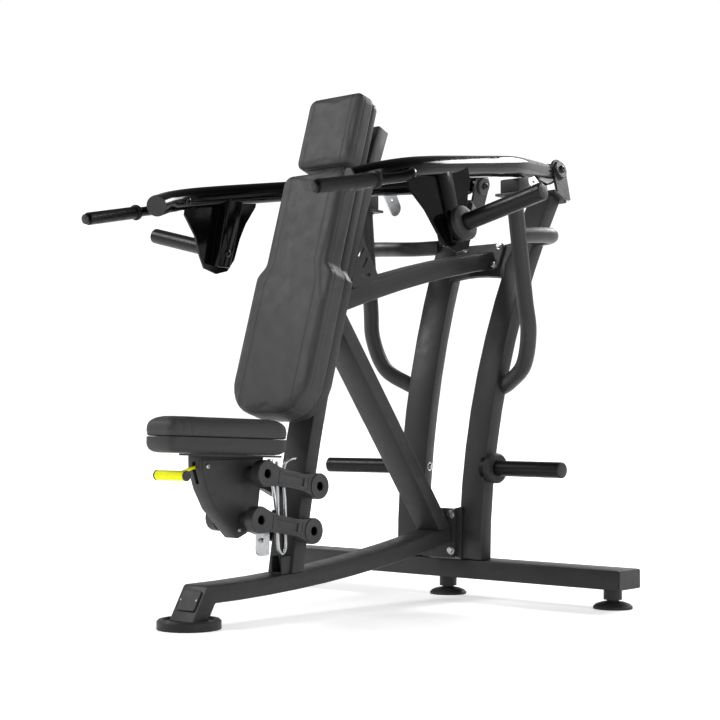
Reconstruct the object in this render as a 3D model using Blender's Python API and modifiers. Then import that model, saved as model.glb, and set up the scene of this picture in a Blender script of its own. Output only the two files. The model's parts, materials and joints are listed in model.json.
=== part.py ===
"""Plate-loaded shoulder press with two converging arms and a seat on parallel links.

Metres, +Z up. The user faces -Y and the user's left is +X. The floor is Z = 0 and the
machine's footprint is centred on the origin. Parts are first laid out with Y = 0 on the
front face of the rear crossbeam, then the whole machine is moved by its root empty.
"""

from math import cos, pi, radians, sin

import bmesh
import bpy
from mathutils import Matrix, Vector

# Driving dimensions
MACHINE_Y = 0.3850          # crossbeam front face behind the footprint's centre
GAP = 0.0003                # clearance between pieces that touch
TUBE = 0.100                # width of the rectangular frame tube, along X
DEPTH = 0.050               # its other side
WALL = 0.0035               # its wall
CORNER = 0.006              # its outer corner radius
CROSSBEAM = (1.370, 0.120, 0.060)
CROSSBEAM_BOTTOM = 0.060
FOOT_SPREAD = 0.630         # levelling feet from the centre plane
FOOT_Y = 0.055
PRONG_FOOT_Y = -1.102       # front rubber foot
POST_TOE = radians(7.5)     # each post's bending plane turns outwards
POST_BASE = (0.1244, 0.0065)
POST_BEND = 4.22            # twice the posts' bending radius
POST_TOP = 1.336
PIVOT = (0.163, 0.412, 1.414)
PIVOT_TILT = radians(13.6)  # the arm axes rise outwards, so the arms converge
ARM_TUBE = 0.066
ARM_DROP = 0.187            # fall of the arm per metre forwards at rest
GUARD_TUBE = 0.052
HANDLE_ROD = 0.030
GRIP = 0.038
HANDLE_TILT = {1: radians(-2), -1: radians(-3)}
LINK = 0.222                # seat link, pivot to pivot
LINK_ANGLE = radians(11)    # rise of the links towards the front at rest
LINK_X = (0.064, 0.092)     # inner and outer face of each link
UPPER_LINK_PIVOT = (-0.674, 0.378)
LOWER_LINK_PIVOT = (-0.699, 0.249)
LEVER_PIVOT = (-1.060, 0.443)
PAD_LEAN = radians(16.7)
SIDES = {"left": 1, "right": -1}

# The side view: plane x is machine Y, plane y is Z, and the thickness runs along X
SIDE_VIEW = Matrix(((0, 0, 1, 0), (1, 0, 0, 0), (0, 1, 0, 0), (0, 0, 0, 1)))


def new_collection(name):
    collection = bpy.data.collections.new(name)
    bpy.context.scene.collection.children.link(collection)
    return collection


for leftover in list(bpy.data.objects):
    bpy.data.objects.remove(leftover, do_unlink=True)
MACHINE = new_collection("shoulder_press")
CUTTERS = new_collection("cutters")


def material(name, colour, roughness, metallic=0.0):
    look = bpy.data.materials.new(name)
    look.use_nodes = True
    shader = look.node_tree.nodes["Principled BSDF"]
    shader.inputs["Base Color"].default_value = (*colour, 1)
    shader.inputs["Roughness"].default_value = roughness
    shader.inputs["Metallic"].default_value = metallic
    look.diffuse_color = (*colour, 1)
    return look


FRAME_PAINT = material("frame_paint", (0.030, 0.030, 0.032), 0.55, 0.2)
GLOSS_PAINT = material("gloss_paint", (0.010, 0.010, 0.011), 0.12, 0.2)
CAST_PAINT = material("cast_paint", (0.022, 0.022, 0.024), 0.45, 0.2)
LEATHERETTE = material("leatherette", (0.035, 0.035, 0.037), 0.55)
MOULDED = material("moulded_plastic", (0.020, 0.020, 0.021), 0.45)
RUBBER = material("rubber", (0.018, 0.018, 0.018), 0.75)
ZINC = material("zinc", (0.62, 0.63, 0.64), 0.30, 1.0)
STEEL = material("polished_steel", (0.55, 0.56, 0.58), 0.18, 1.0)
YELLOW = material("yellow_plastic", (0.85, 0.90, 0.02), 0.40)


# ---------------------------------------------------------------- modelling tools

def place_object(name, data, place, collection, look=None):
    obj = bpy.data.objects.new(name, data)
    obj.matrix_world = place
    collection.objects.link(obj)
    if look:
        data.materials.append(look)
    return obj


def as_mesh(curve_object, look=None):
    """Replace a curve object by its welded mesh, with flat stretches as single faces."""
    bpy.context.view_layer.update()
    graph = bpy.context.evaluated_depsgraph_get()
    mesh = bpy.data.meshes.new_from_object(curve_object.evaluated_get(graph))
    shape = bmesh.new()
    shape.from_mesh(mesh)
    bmesh.ops.remove_doubles(shape, verts=shape.verts, dist=0.00002)
    bmesh.ops.dissolve_limit(shape, angle_limit=0.002, verts=shape.verts, edges=shape.edges)
    bmesh.ops.recalc_face_normals(shape, faces=shape.faces)
    shape.to_mesh(mesh)
    shape.free()
    name = curve_object.name
    place = curve_object.matrix_world.copy()
    collection = curve_object.users_collection[0]
    curve = curve_object.data
    bpy.data.objects.remove(curve_object, do_unlink=True)
    bpy.data.curves.remove(curve)
    mesh.materials.clear()
    return place_object(name, mesh, place, collection, look)


def smooth(obj, angle=35):
    obj.data.shade_smooth()
    obj.data.set_sharp_from_angle(angle=radians(angle))
    return obj


def bevel(obj, width, segments=2):
    rounding = obj.modifiers.new("rounded_edges", "BEVEL")
    rounding.width = width
    rounding.segments = segments
    rounding.limit_method = "ANGLE"
    rounding.angle_limit = radians(40)
    return obj


def boolean(obj, tool, operation):
    change = obj.modifiers.new(operation.lower(), "BOOLEAN")
    change.operation = operation
    change.object = tool
    if tool.name not in CUTTERS.objects:
        for collection in tool.users_collection:
            collection.objects.unlink(tool)
        CUTTERS.objects.link(tool)
    tool.hide_render = True
    tool.display_type = "WIRE"
    return obj


def cut(obj, *tools):
    for tool in tools:
        boolean(obj, tool, "DIFFERENCE")
    return obj


def join(obj, *tools):
    for tool in tools:
        boolean(obj, tool, "UNION")
    return obj


def outline_solid(name, outline, width, place=SIDE_VIEW, look=None, edge=0.0):
    """A flat outline extruded half its width to each side of its plane."""
    curve = bpy.data.curves.new(name, "CURVE")
    curve.dimensions = "2D"
    curve.fill_mode = "BOTH"
    curve.extrude = width / 2
    spline = curve.splines.new("POLY")
    spline.points.add(len(outline) - 1)
    for point, (u, v) in zip(spline.points, outline):
        point.co = (u, v, 0, 1)
    spline.use_cyclic_u = True
    obj = as_mesh(place_object(name, curve, place, MACHINE), look)
    if edge:
        bevel(obj, edge)
    return obj


def box(name, centre, size, look=None, edge=0.0, turn=Matrix()):
    mesh = bpy.data.meshes.new(name)
    shape = bmesh.new()
    bmesh.ops.create_cube(shape, size=1.0)
    bmesh.ops.scale(shape, vec=size, verts=shape.verts)
    shape.to_mesh(mesh)
    shape.free()
    obj = place_object(name, mesh, Matrix.Translation(centre) @ turn, MACHINE, look)
    if edge:
        bevel(obj, edge)
    return obj


def along(start, end):
    """A placement with its origin at start and its Z axis towards end."""
    direction = Vector(end) - Vector(start)
    return Matrix.Translation(start) @ direction.to_track_quat("Z", "Y").to_matrix().to_4x4()


def rod(name, start, end, diameter, look=None, sides=16):
    length = (Vector(end) - Vector(start)).length
    mesh = bpy.data.meshes.new(name)
    shape = bmesh.new()
    bmesh.ops.create_cone(
        shape, cap_ends=True, segments=sides, radius1=diameter / 2, radius2=diameter / 2,
        depth=length, matrix=Matrix.Translation((0, 0, length / 2)),
    )
    shape.to_mesh(mesh)
    shape.free()
    return smooth(place_object(name, mesh, along(start, end), MACHINE, look))


def turned(name, profile, place, look=None, steps=20, ring=False):
    """A profile of (radius, height), from its top down its outer side, turned about Z."""
    mesh = bpy.data.meshes.new(name)
    shape = bmesh.new()
    corners = [shape.verts.new((radius, 0, height)) for radius, height in profile]
    for first, second in zip(corners, corners[1:]):
        shape.edges.new((first, second))
    if ring:
        shape.edges.new((corners[-1], corners[0]))
    shape.to_mesh(mesh)
    shape.free()
    obj = place_object(name, mesh, place, MACHINE, look)
    screw = obj.modifiers.new("turn", "SCREW")
    screw.axis = "Z"
    screw.steps = steps
    screw.render_steps = steps
    screw.use_merge_vertices = True
    screw.merge_threshold = 0.00005
    screw.use_smooth_shade = False
    return obj


def bent_tube(name, points, diameter, look=None, resolution=2, capped=True):
    curve = bpy.data.curves.new(name, "CURVE")
    curve.dimensions = "3D"
    curve.bevel_depth = diameter / 2
    curve.bevel_resolution = resolution
    curve.use_fill_caps = capped
    spline = curve.splines.new("POLY")
    spline.points.add(len(points) - 1)
    for point, position in zip(spline.points, points):
        point.co = (*position, 1)
    return as_mesh(place_object(name, curve, Matrix(), MACHINE), look)


def hollow_tube(name, points, diameter, look, resolution=2):
    """A round tube open at both ends, its wall inside its diameter."""
    obj = bent_tube(name, points, diameter, look, resolution, capped=False)
    wall = obj.modifiers.new("wall", "SOLIDIFY")
    wall.thickness = WALL
    wall.offset = -1
    wall.use_even_offset = True
    return smooth(obj)


def flowing(points, per_span=5):
    """Points along the smooth curve through the given ones."""
    knots = [Vector(p) for p in points]
    knots = [2 * knots[0] - knots[1], *knots, 2 * knots[-1] - knots[-2]]
    line = []
    for a, b, c, d in zip(knots, knots[1:], knots[2:], knots[3:]):
        for step in range(per_span):
            t = step / per_span
            line.append(
                0.5 * (2 * b + t * (c - a) + t * t * (2 * a - 5 * b + 4 * c - d)
                       + t ** 3 * (3 * b - a - 3 * c + d))
            )
    return line + [knots[-2]]


def rounded(corners, radius, steps=4):
    """A closed outline whose corners are arcs; radius is one value or one per corner."""
    count = len(corners)
    radii = radius if isinstance(radius, (list, tuple)) else [radius] * count
    outline = []
    for index, size in enumerate(radii):
        corner = Vector(corners[index])
        back = (Vector(corners[index - 1]) - corner).normalized()
        ahead = (Vector(corners[(index + 1) % count]) - corner).normalized()
        if size == 0:
            outline.append(tuple(corner))
            continue
        half = back.angle(ahead) / 2
        centre = corner + (back + ahead).normalized() * size / sin(half)
        start = corner + back * size / (sin(half) / cos(half)) - centre
        end = corner + ahead * size / (sin(half) / cos(half)) - centre
        sweep = start.angle_signed(end)
        for step in range(steps + 1):
            turn = Matrix.Rotation(-sweep * step / steps, 2)
            outline.append(tuple(centre + turn @ start))
    return outline


def strip(path, near, far, extend=0.0):
    """The band between two offsets to the left of a path, with mitred corners."""
    line = [Vector(p) for p in path]
    line[0] = line[0] + (line[0] - line[1]).normalized() * extend
    line[-1] = line[-1] + (line[-1] - line[-2]).normalized() * extend
    normals = []
    for a, b in zip(line, line[1:]):
        run = (b - a).normalized()
        normals.append(Vector((-run.y, run.x)))
    mitres = [normals[0]]
    for before, after in zip(normals, normals[1:]):
        mitres.append((before + after) / (1 + before.dot(after)))
    mitres.append(normals[-1])
    first = [tuple(p + m * near) for p, m in zip(line, mitres)]
    second = [tuple(p + m * far) for p, m in zip(line, mitres)]
    return first + second[::-1]


def sample(function, start, end, count):
    values = [start + (end - start) * i / count for i in range(count + 1)]
    return [function(value) for value in values]


def member(name, path, depth, place=SIDE_VIEW, look=FRAME_PAINT):
    """A rectangular tube along a path in its plane: depth is measured to the path's left."""
    sign = 1 if depth > 0 else -1
    obj = outline_solid(name, strip(path, 0, depth), TUBE, place, look, CORNER)
    inner = strip(path, sign * WALL, depth - sign * WALL, extend=0.05)
    bore = outline_solid(name + "_bore", inner, TUBE - 2 * WALL, place)
    return cut(obj, bore)


def member_space(name, path, depth, place=SIDE_VIEW):
    """The room that a member takes, with the clearance, for trimming its neighbours."""
    sign = GAP if depth > 0 else -GAP
    return outline_solid(name, strip(path, -sign, depth + sign), 2 * TUBE, place)


def on_side_plane(x):
    return Matrix.Translation((x, 0, 0)) @ SIDE_VIEW


# ---------------------------------------------------------------- lines of the frame

def mast_rear(z):
    rise = z - 0.129
    return (-0.695 + 0.163 * rise + rise ** 2 / 10.6, z)


def base_top(y):
    return (y, 0.117 + (y + 1.077) ** 2 / 10.94)


def upper_beam_top(y):
    run = y + 0.473
    return (y, 0.973 + 0.315 * run - run ** 2 / 9.0)


def post_front(z):
    return ((z - 0.12) ** 2 / POST_BEND, z)


def post_place(side):
    """The bending plane of a post: plane x runs rearwards and outwards, plane y is Z."""
    rearward = Vector((side * sin(POST_TOE), cos(POST_TOE), 0))
    across = Vector((cos(POST_TOE), -side * sin(POST_TOE), 0))
    turn = Matrix((rearward, (0, 0, 1), across)).transposed().to_4x4()
    return Matrix.Translation((side * POST_BASE[0], POST_BASE[1], 0)) @ turn


FRONT_FLANGE = (-0.0045, 0.0077)    # Y of the base beam's bolted end plate
LOWER_PLATE_Y = (0.0080, 0.0200)
MAST_PATH = sample(mast_rear, 0.100, 1.470, 10)
BASE_PATH = [(-1.147, -0.004)] + sample(base_top, -1.077, FRONT_FLANGE[0] + 0.002, 9)
UPPER_PATH = sample(upper_beam_top, -0.520, 0.270, 6)
BRACE_PATH = [(-0.524, 0.915), (0.007, 0.222)]
POST_PATH = sample(post_front, 0.12 + 2 * GAP, POST_TOP, 10)
UPPER_LEAN = radians(25)            # lean of the posts where the upper beam meets them
UPPER_JOINT = (0, 0.2475, 1.122)


def leaning(centre, lean):
    """A plane facing forwards and up: plane x is X, plane y rises rearwards."""
    up = Vector((0, sin(lean), cos(lean)))
    facing = Vector((0, -cos(lean), sin(lean)))
    return Matrix.Translation(centre) @ Matrix(((1, 0, 0), up, facing)).transposed().to_4x4()


def waisted(half_width, top, bottom, dip):
    """A plate outline whose top and bottom edges curve inwards."""
    count = 6
    upper = [(half_width * (1 - 2 * i / count), top - dip * sin(pi * i / count))
             for i in range(count + 1)]
    lower = [(-half_width * (1 - 2 * i / count), bottom + dip * sin(pi * i / count))
             for i in range(count + 1)]
    return upper + lower


# ---------------------------------------------------------------- base and posts

def crossbeam():
    centre = (0, CROSSBEAM[1] / 2, CROSSBEAM_BOTTOM + CROSSBEAM[2] / 2)
    beam = box("crossbeam", centre, CROSSBEAM, FRAME_PAINT, CORNER)
    inside = [side - 2 * WALL for side in CROSSBEAM]
    cut(beam, box("crossbeam_bore", centre, inside))
    for name, x in FEET.items():
        collar = rod(name + "_collar", (x, FOOT_Y, 0.0275), (x, FOOT_Y, 0.0625), 0.057)
        hole = rod(name + "_thread", (x, FOOT_Y, 0.02), (x, FOOT_Y, 0.07), 0.0250, sides=16)
        join(beam, collar)
        cut(beam, hole)


FEET = {"levelling_foot_left": FOOT_SPREAD, "levelling_foot_centre": 0.0,
        "levelling_foot_right": -FOOT_SPREAD}


def levelling_feet():
    profile = [(0, 0.060), (0.0120, 0.060), (0.0120, 0.0270), (0.0190, 0.0270), (0.0190, 0.0215),
               (0.034, 0.0205), (0.052, 0.0145), (0.060, 0.0070), (0.060, 0.0), (0, 0.0)]
    for name, x in FEET.items():
        turned(name, profile, Matrix.Translation((x, FOOT_Y, 0)), RUBBER)


def front_foot():
    profile = [(0, 0.0215), (0.070, 0.0215), (0.074, 0.027), (0.084, 0.027), (0.089, 0.022),
               (0.089, 0.0), (0, 0.0)]
    turned("front_foot", profile, Matrix.Translation((0, PRONG_FOOT_Y, 0)), RUBBER, steps=24)


def base_beam():
    beam = member("base_beam", BASE_PATH, -DEPTH)
    below = box("base_beam_sole", (0, PRONG_FOOT_Y, -0.0782), (0.3, 0.3, 0.2))
    cut(beam, below)
    flange = outline_solid(
        "base_flange", rounded([(-0.070, 0.124), (0.070, 0.124), (0.070, 0.284), (-0.070, 0.284)],
                               0.012, 3),
        FRONT_FLANGE[1] - FRONT_FLANGE[0], leaning((0, sum(FRONT_FLANGE) / 2, 0), 0))
    join(beam, flange)


def badge_plate():
    """A blank plate on the front of the prong."""
    low, high = Vector((-1.1300, 0.0260)), Vector((-1.0780, 0.1180))
    rise = (high - low).normalized()
    facing = Vector((-rise.y, rise.x))
    centre = low + rise * 0.058 + facing * 0.0019
    turn = Matrix(((1, 0, 0), (0, rise.x, rise.y), (0, facing.x, facing.y))).transposed()
    place = Matrix.Translation((0, *centre)) @ turn.to_4x4()
    corners = [(-0.0375, -0.031), (0.0375, -0.031), (0.0375, 0.031), (-0.0375, 0.031)]
    outline_solid("badge_plate", rounded(corners, 0.008, 3), 0.003, place, MOULDED)


def posts():
    for name, side in SIDES.items():
        place = post_place(side)
        member("post_" + name, POST_PATH, -DEPTH, place)
        outline = strip(POST_PATH, GAP, -DEPTH - GAP, 0.01)
        SPACES["post_" + name] = outline_solid("post_space_" + name, outline,
                                               TUBE + 2 * GAP, place)


def joint_plates():
    lower = outline_solid(
        "lower_joint_plate", waisted(0.090, 0.290, 0.122, 0.014),
        LOWER_PLATE_Y[1] - LOWER_PLATE_Y[0], leaning((0, sum(LOWER_PLATE_Y) / 2, 0), 0),
        FRAME_PAINT)
    place = leaning(UPPER_JOINT, UPPER_LEAN) @ Matrix.Translation((0, 0, -0.0063))
    upper = outline_solid("upper_joint_plate", waisted(0.125, 0.056, -0.082, 0.014), 0.012,
                          place, FRAME_PAINT)
    for plate in (lower, upper):
        cut(plate, SPACES["post_left"], SPACES["post_right"])


def upper_beam():
    """The beam from the mast to the posts, with its bolted end plate."""
    beam = member("upper_beam", UPPER_PATH, -0.058)
    flange_place = leaning(UPPER_JOINT, UPPER_LEAN) @ Matrix.Translation((0, 0, 0.0053))
    corners = [(-0.086, -0.050), (0.086, -0.050), (0.086, 0.050), (-0.086, 0.050)]
    flange = outline_solid("upper_flange", rounded(corners, 0.014, 3), 0.010, flange_place)
    behind = box("upper_beam_end", (0, 0, 0), (0.4, 0.5, 0.2))
    behind.matrix_world = flange_place @ Matrix.Translation((0, 0, -0.103))
    cut(beam, SPACES["mast"], behind)
    join(beam, flange, *gusset_plates())


def diagonal_brace():
    brace = member("diagonal_brace", BRACE_PATH, -DEPTH)
    rear = box("brace_end", (0, FRONT_FLANGE[0] - GAP + 0.15, 0.2), (0.3, 0.3, 0.4))
    cut(brace, SPACES["mast"], SPACES["base"], rear)


def seat_mast():
    """The curved column that carries the pads, with the pad brackets welded to it."""
    mast = member("seat_mast", MAST_PATH, DEPTH)
    cut(mast, SPACES["base"])
    for name, z, reach, height in (("low", 0.655, 0.034, 0.060), ("mid", 0.955, 0.048, 0.060),
                                   ("high", 1.235, 0.040, 0.050), ("head", 1.432, 0.030, 0.050)):
        front = mast_rear(z)[0] - DEPTH
        bracket = box("pad_bracket_" + name, (0, front - reach / 2 + 0.004, z),
                      (0.064, reach + 0.016, height), None, 0.0,
                      Matrix.Rotation(-PAD_LEAN, 4, "X"))
        join(mast, bracket)
    end = Vector(MAST_PATH[-1])
    run = (end - Vector(MAST_PATH[-2])).normalized()
    lid = strip([tuple(end - run * 0.005), tuple(end - run * 0.001)], 0.002, DEPTH - 0.002)
    join(mast, outline_solid("mast_lid", lid, TUBE - 0.004))
    cut(mast, SPACES["boards"])


def gusset_plates():
    """Slotted side plates that stand on the upper beam and close against the mast."""
    corners = [(-0.432, 1.135), (-0.480, 1.051), (-0.478, 0.970), (-0.345, 1.003)]
    slots = [(-0.437, 1.085, 54), (-0.420, 1.055, 54), (-0.412, 1.016, 12)]
    plates = []
    for name, side in SIDES.items():
        plane = on_side_plane(side * (TUBE / 2 - 0.006))
        plate = outline_solid("gusset_plate_" + name, rounded(corners, 0.006, 2), 0.006, plane)
        for index, (y, z, rise) in enumerate(slots):
            slot = box(f"gusset_slot_{name}_{index}", plane @ Vector((y, z, 0)),
                       (0.02, 0.036, 0.010), None, 0.0, Matrix.Rotation(radians(rise), 4, "X"))
            cut(plate, slot)
        plates.append(cut(plate, SPACES["mast"]))
    return plates


# ---------------------------------------------------------------- guards, stops and storage

def guards():
    """Bent tubes beside the posts: they carry the arm stops and guard the users' fingers."""
    for name, side in SIDES.items():
        upright = [(0.150, 0.128, 0.668), (0.215, 0.108, 0.696), (0.290, 0.078, 0.748),
                   (0.325, 0.055, 0.850), (0.322, 0.040, 0.958), (0.316, 0.014, 1.156),
                   (0.312, -0.002, 1.281)]
        guard = bent_tube("guard_frame_" + name, flowing([(side * x, y, z) for x, y, z in upright], 4),
                          GUARD_TUBE, FRAME_PAINT)
        link = [(0.316, 0.014, 1.156), (0.325, 0.110, 1.166), (0.318, 0.190, 1.172),
                (0.275, 0.240, 1.174), (0.190, 0.275, 1.176)]
        tie = bent_tube("guard_tie_" + name, flowing([(side * x, y, z) for x, y, z in link], 3),
                        GUARD_TUBE - 0.001)
        shelf = box("guard_shelf_" + name, (side * 0.304, 0.0, 1.2845), (0.090, 0.072, 0.008))
        join(guard, tie, shelf)
        cut(guard, SPACES["post_" + name])
        smooth(guard)


def stop_bumpers():
    """Rubber blocks on the guards: the arms rest on them."""
    for name, side in SIDES.items():
        profile = [(-0.027, 1.2888), (0.027, 1.2888), (0.027, 1.3415), (-0.027, 1.3320)]
        outline_solid("stop_bumper_" + name, profile, 0.075, on_side_plane(side * 0.312), RUBBER, 0.004)


def storage_horns():
    """Horns for spare plates, with a rubber collar against each post."""
    z = 0.416
    for name, side in SIDES.items():
        plane = post_place(side)
        middle = Vector((post_front(z)[0] + DEPTH / 2, z, 0))
        place = along(plane @ middle, plane @ (middle + Vector((0, 0, side))))
        horn = turned("storage_horn_" + name,
                      [(0.0215, 0.354), (0.0235, 0.355), (0.025, 0.3535), (0.025, 0.035),
                       (0.0215, 0.035)], place, FRAME_PAINT, ring=True)
        seat = turned("storage_flange_" + name,
                      [(0.022, 0.0600), (0.040, 0.0600), (0.040, 0.035), (0.022, 0.035)], place, ring=True)
        join(horn, seat)
        cut(horn, SPACES["post_" + name])
        smooth(horn)
        turned("storage_collar_" + name,
               [(0.0253, 0.086), (0.043, 0.086), (0.049, 0.081), (0.049, 0.065), (0.0455, 0.0605),
                (0.0253, 0.0605)], place, RUBBER, ring=True)


# ---------------------------------------------------------------- press arms

def arm_place(side):
    """The arm's frame: x forwards, y up and square to the pivot axis, z along that axis."""
    up = Vector((-side * sin(PIVOT_TILT), 0, cos(PIVOT_TILT)))
    forward = Vector((0, -1, 0))
    turn = Matrix((forward, up, forward.cross(up))).transposed().to_4x4()
    return Matrix.Translation((side * PIVOT[0], *PIVOT[1:])) @ turn


def arm_point(side, forward, outward, up):
    """A point of the arm; outward runs along the pivot axis, away from the centre plane."""
    return arm_place(side) @ Vector((forward, up, -side * outward))


def arm_plane(side, outward):
    return arm_place(side) @ Matrix.Translation((0, 0, -side * outward))


ARM_LINE = [(0.0, 0.0), (0.130, 0.047), (0.254, 0.090), (0.428, 0.147), (0.548, 0.170),
            (0.678, 0.188), (0.838, 0.211), (0.988, 0.230), (1.108, 0.235), (1.208, 0.217),
            (1.290, 0.179)]


SWIVEL = (1.150, -0.236)            # forward and up of the handle's bolt, in the arm's frame


def arm_line(side):
    points = [arm_point(side, s, d, -ARM_DROP * s) for s, d in ARM_LINE]
    return flowing(points, 2)


EAR_MIDDLE = 0.0425         # the fork's ears, from the middle of the hub
EAR_THICKNESS = 0.009


def ear_outline(grow):
    """One ear in the arm's plane: round about the pivot, tapering down to the post."""
    radius = 0.039 + grow
    top = sample(lambda a: (-radius * cos(a), radius * sin(a)), -0.15, pi + 0.15, 10)
    return top + [(0.040 + grow, -0.105), (-0.030 - grow, -0.105)]


def pivot_brackets():
    """A forked bracket on each post and the shaft that its arm turns on."""
    for name, side in SIDES.items():
        slope = 2 * (POST_TOP - 0.12) / POST_BEND
        lean = Vector((slope, 1)).normalized()
        seat = Vector(post_front(POST_TOP)) + Vector((lean.y, -lean.x)) * DEPTH / 2
        centre = seat + lean * (GAP + 0.004)
        turn = Matrix(((lean.y, lean.x, 0), (-lean.x, lean.y, 0), (0, 0, 1))).to_4x4()
        place = post_place(side) @ Matrix.Translation((*centre, 0)) @ turn
        bracket = box("pivot_bracket_" + name, (0, 0, 0), (0.070, 0.008, 0.112), FRAME_PAINT)
        bracket.matrix_world = place @ Matrix.Translation((0, 0, side * 0.012))
        for index, outward in enumerate((-EAR_MIDDLE, EAR_MIDDLE)):
            plate = outline_solid(f"pivot_ear_{name}_{index}", ear_outline(0), EAR_THICKNESS,
                                  arm_plane(side, outward))
            join(bracket, plate)
        ends = [arm_point(side, 0, reach, 0) for reach in (-0.070, 0.070)]
        cut(bracket, rod("pivot_bore_" + name, ends[0], ends[1], 0.0256))
        below = box("pivot_below_" + name, (0, 0, 0), (0.2, 0.1, 0.3))
        below.matrix_world = place @ Matrix.Translation((0, -0.054, 0))
        cut(bracket, below)
        face = EAR_MIDDLE + EAR_THICKNESS / 2 + GAP
        cap = [(0, 0.0125), (0.010, 0.0125), (0.012, 0.0090), (0.029, 0.0090), (0.031, 0.007),
               (0.031, 0), (0.0125, 0)]
        upper = [(radius, face + height) for radius, height in cap]
        lower = [(radius, -height) for radius, height in upper[::-1]]
        turned("pivot_shaft_" + name, upper + lower,
               along(arm_point(side, 0, 0, 0), arm_point(side, 0, 1, 0)), CAST_PAINT, 16)


def arms():
    for name, side in SIDES.items():
        arm = hollow_tube("arm_" + name, arm_line(side), ARM_TUBE, GLOSS_PAINT, 3)
        inner = EAR_MIDDLE - EAR_THICKNESS / 2 - GAP
        ends = [arm_point(side, 0, reach, 0) for reach in (-inner, inner)]
        hub = rod("arm_hub_" + name, ends[0], ends[1], 0.064, sides=20)
        long_ends = [arm_point(side, 0, reach, 0) for reach in (-0.15, 0.15)]
        bore = rod("arm_bore_" + name, long_ends[0], long_ends[1], 0.0256)
        inner_room = rod("arm_inner_room_" + name, arm_point(side, 0, -0.2, 0), ends[0], 0.09,
                         sides=20)
        ear_room = outline_solid("arm_ear_room_" + name, ear_outline(0.002),
                                 EAR_THICKNESS + 2 * GAP, arm_plane(side, EAR_MIDDLE))
        cap_room = rod("arm_cap_room_" + name, arm_point(side, 0, EAR_MIDDLE, 0),
                       arm_point(side, 0, 0.12, 0), 0.066, sides=20)
        swivel_ends = [arm_point(side, SWIVEL[0], reach, SWIVEL[1]) for reach in (0.232, 0.290)]
        hole = rod("arm_swivel_hole_" + name, *swivel_ends, 0.0180)
        join(arm, hub)
        cut(arm, bore, inner_room, ear_room, cap_room, hole)
        attach(arm, PIVOTS["arm_" + name])
        line = arm_line(side)
        along_end = along(line[-1], line[-1] + (line[-1] - line[-2]))
        cap = turned("arm_cap_" + name,
                     [(0, 0.0045), (0.031, 0.0045), (0.0328, 0.003), (0.0328, 0.0004),
                      (0.0265, 0.0004), (0.0265, -0.010), (0, -0.010)], along_end, MOULDED)
        attach(cap, PIVOTS["arm_" + name])


def arm_gussets():
    """Below each arm: a square post between two wings, ending above the weight horn."""
    wing = [(1.121, -0.262), (1.064, -0.322), (1.028, -0.386), (1.000, -0.424),
            (0.948, -0.437), (0.900, -0.424), (0.877, -0.385), (0.868, -0.314), (0.853, -0.263),
            (0.822, -0.205), (0.822, -0.160), (1.123, -0.214)]
    for name, side in SIDES.items():
        parent = PIVOTS["arm_" + name]
        plate = outline_solid("arm_gusset_" + name, wing, 0.009, arm_plane(side, 0.236), CAST_PAINT)
        post = [(0.915, -0.172), (0.985, -0.184), (0.978, -0.410), (0.922, -0.410)]
        column = outline_solid("arm_column_" + name, post, 0.052, arm_plane(side, 0.222), None, 0.004)
        join(plate, column)
        cut(plate, bent_tube("arm_space_" + name, arm_line(side), ARM_TUBE + 4 * GAP, None, 3))
        attach(plate, parent)


def weight_horns():
    for name, side in SIDES.items():
        place = along(arm_point(side, 0.947, 0, -0.363), arm_point(side, 0.947, 1, -0.363))
        horn = turned("arm_horn_" + name,
                      [(0.0215, 0.551), (0.0235, 0.552), (0.025, 0.5505), (0.025, 0.2635),
                       (0.042, 0.2635), (0.042, 0.2485), (0.0215, 0.2485)],
                      place, GLOSS_PAINT, ring=True)
        collar = turned("arm_collar_" + name,
                        [(0.0253, 0.288), (0.040, 0.288), (0.050, 0.282), (0.050, 0.2675),
                         (0.0455, 0.2638), (0.0253, 0.2638)], place, RUBBER, ring=True)
        for piece in (horn, collar):
            attach(smooth(piece), PIVOTS["arm_" + name])


def stop_plates():
    """Zinc plates that slant down below each arm, just behind its bumper."""
    for name, side in SIDES.items():
        outline = rounded([(-0.026, -0.072), (0.026, -0.072), (0.026, 0.045), (-0.026, 0.045)],
                          [0.024, 0.024, 0, 0], 4)
        turn = Matrix.Translation((0.295, -0.100, 0)) @ Matrix.Rotation(radians(-44), 4, "Z")
        place = arm_plane(side, 0.113) @ turn
        plate = outline_solid("stop_plate_" + name, outline, 0.008, place, ZINC)
        hole = rod("stop_plate_hole_" + name, place @ Vector((0, -0.006, -0.02)),
                   place @ Vector((0, -0.006, 0.02)), 0.010, sides=12)
        room = bent_tube("stop_room_" + name, arm_line(side), ARM_TUBE + 4 * GAP, None, 3)
        cut(plate, hole, room)
        attach(plate, PIVOTS["arm_" + name])


GRIP_REAR = (1.291, 0.266, -0.267)
GRIP_FRONT = (1.505, 0.232, -0.292)


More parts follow.
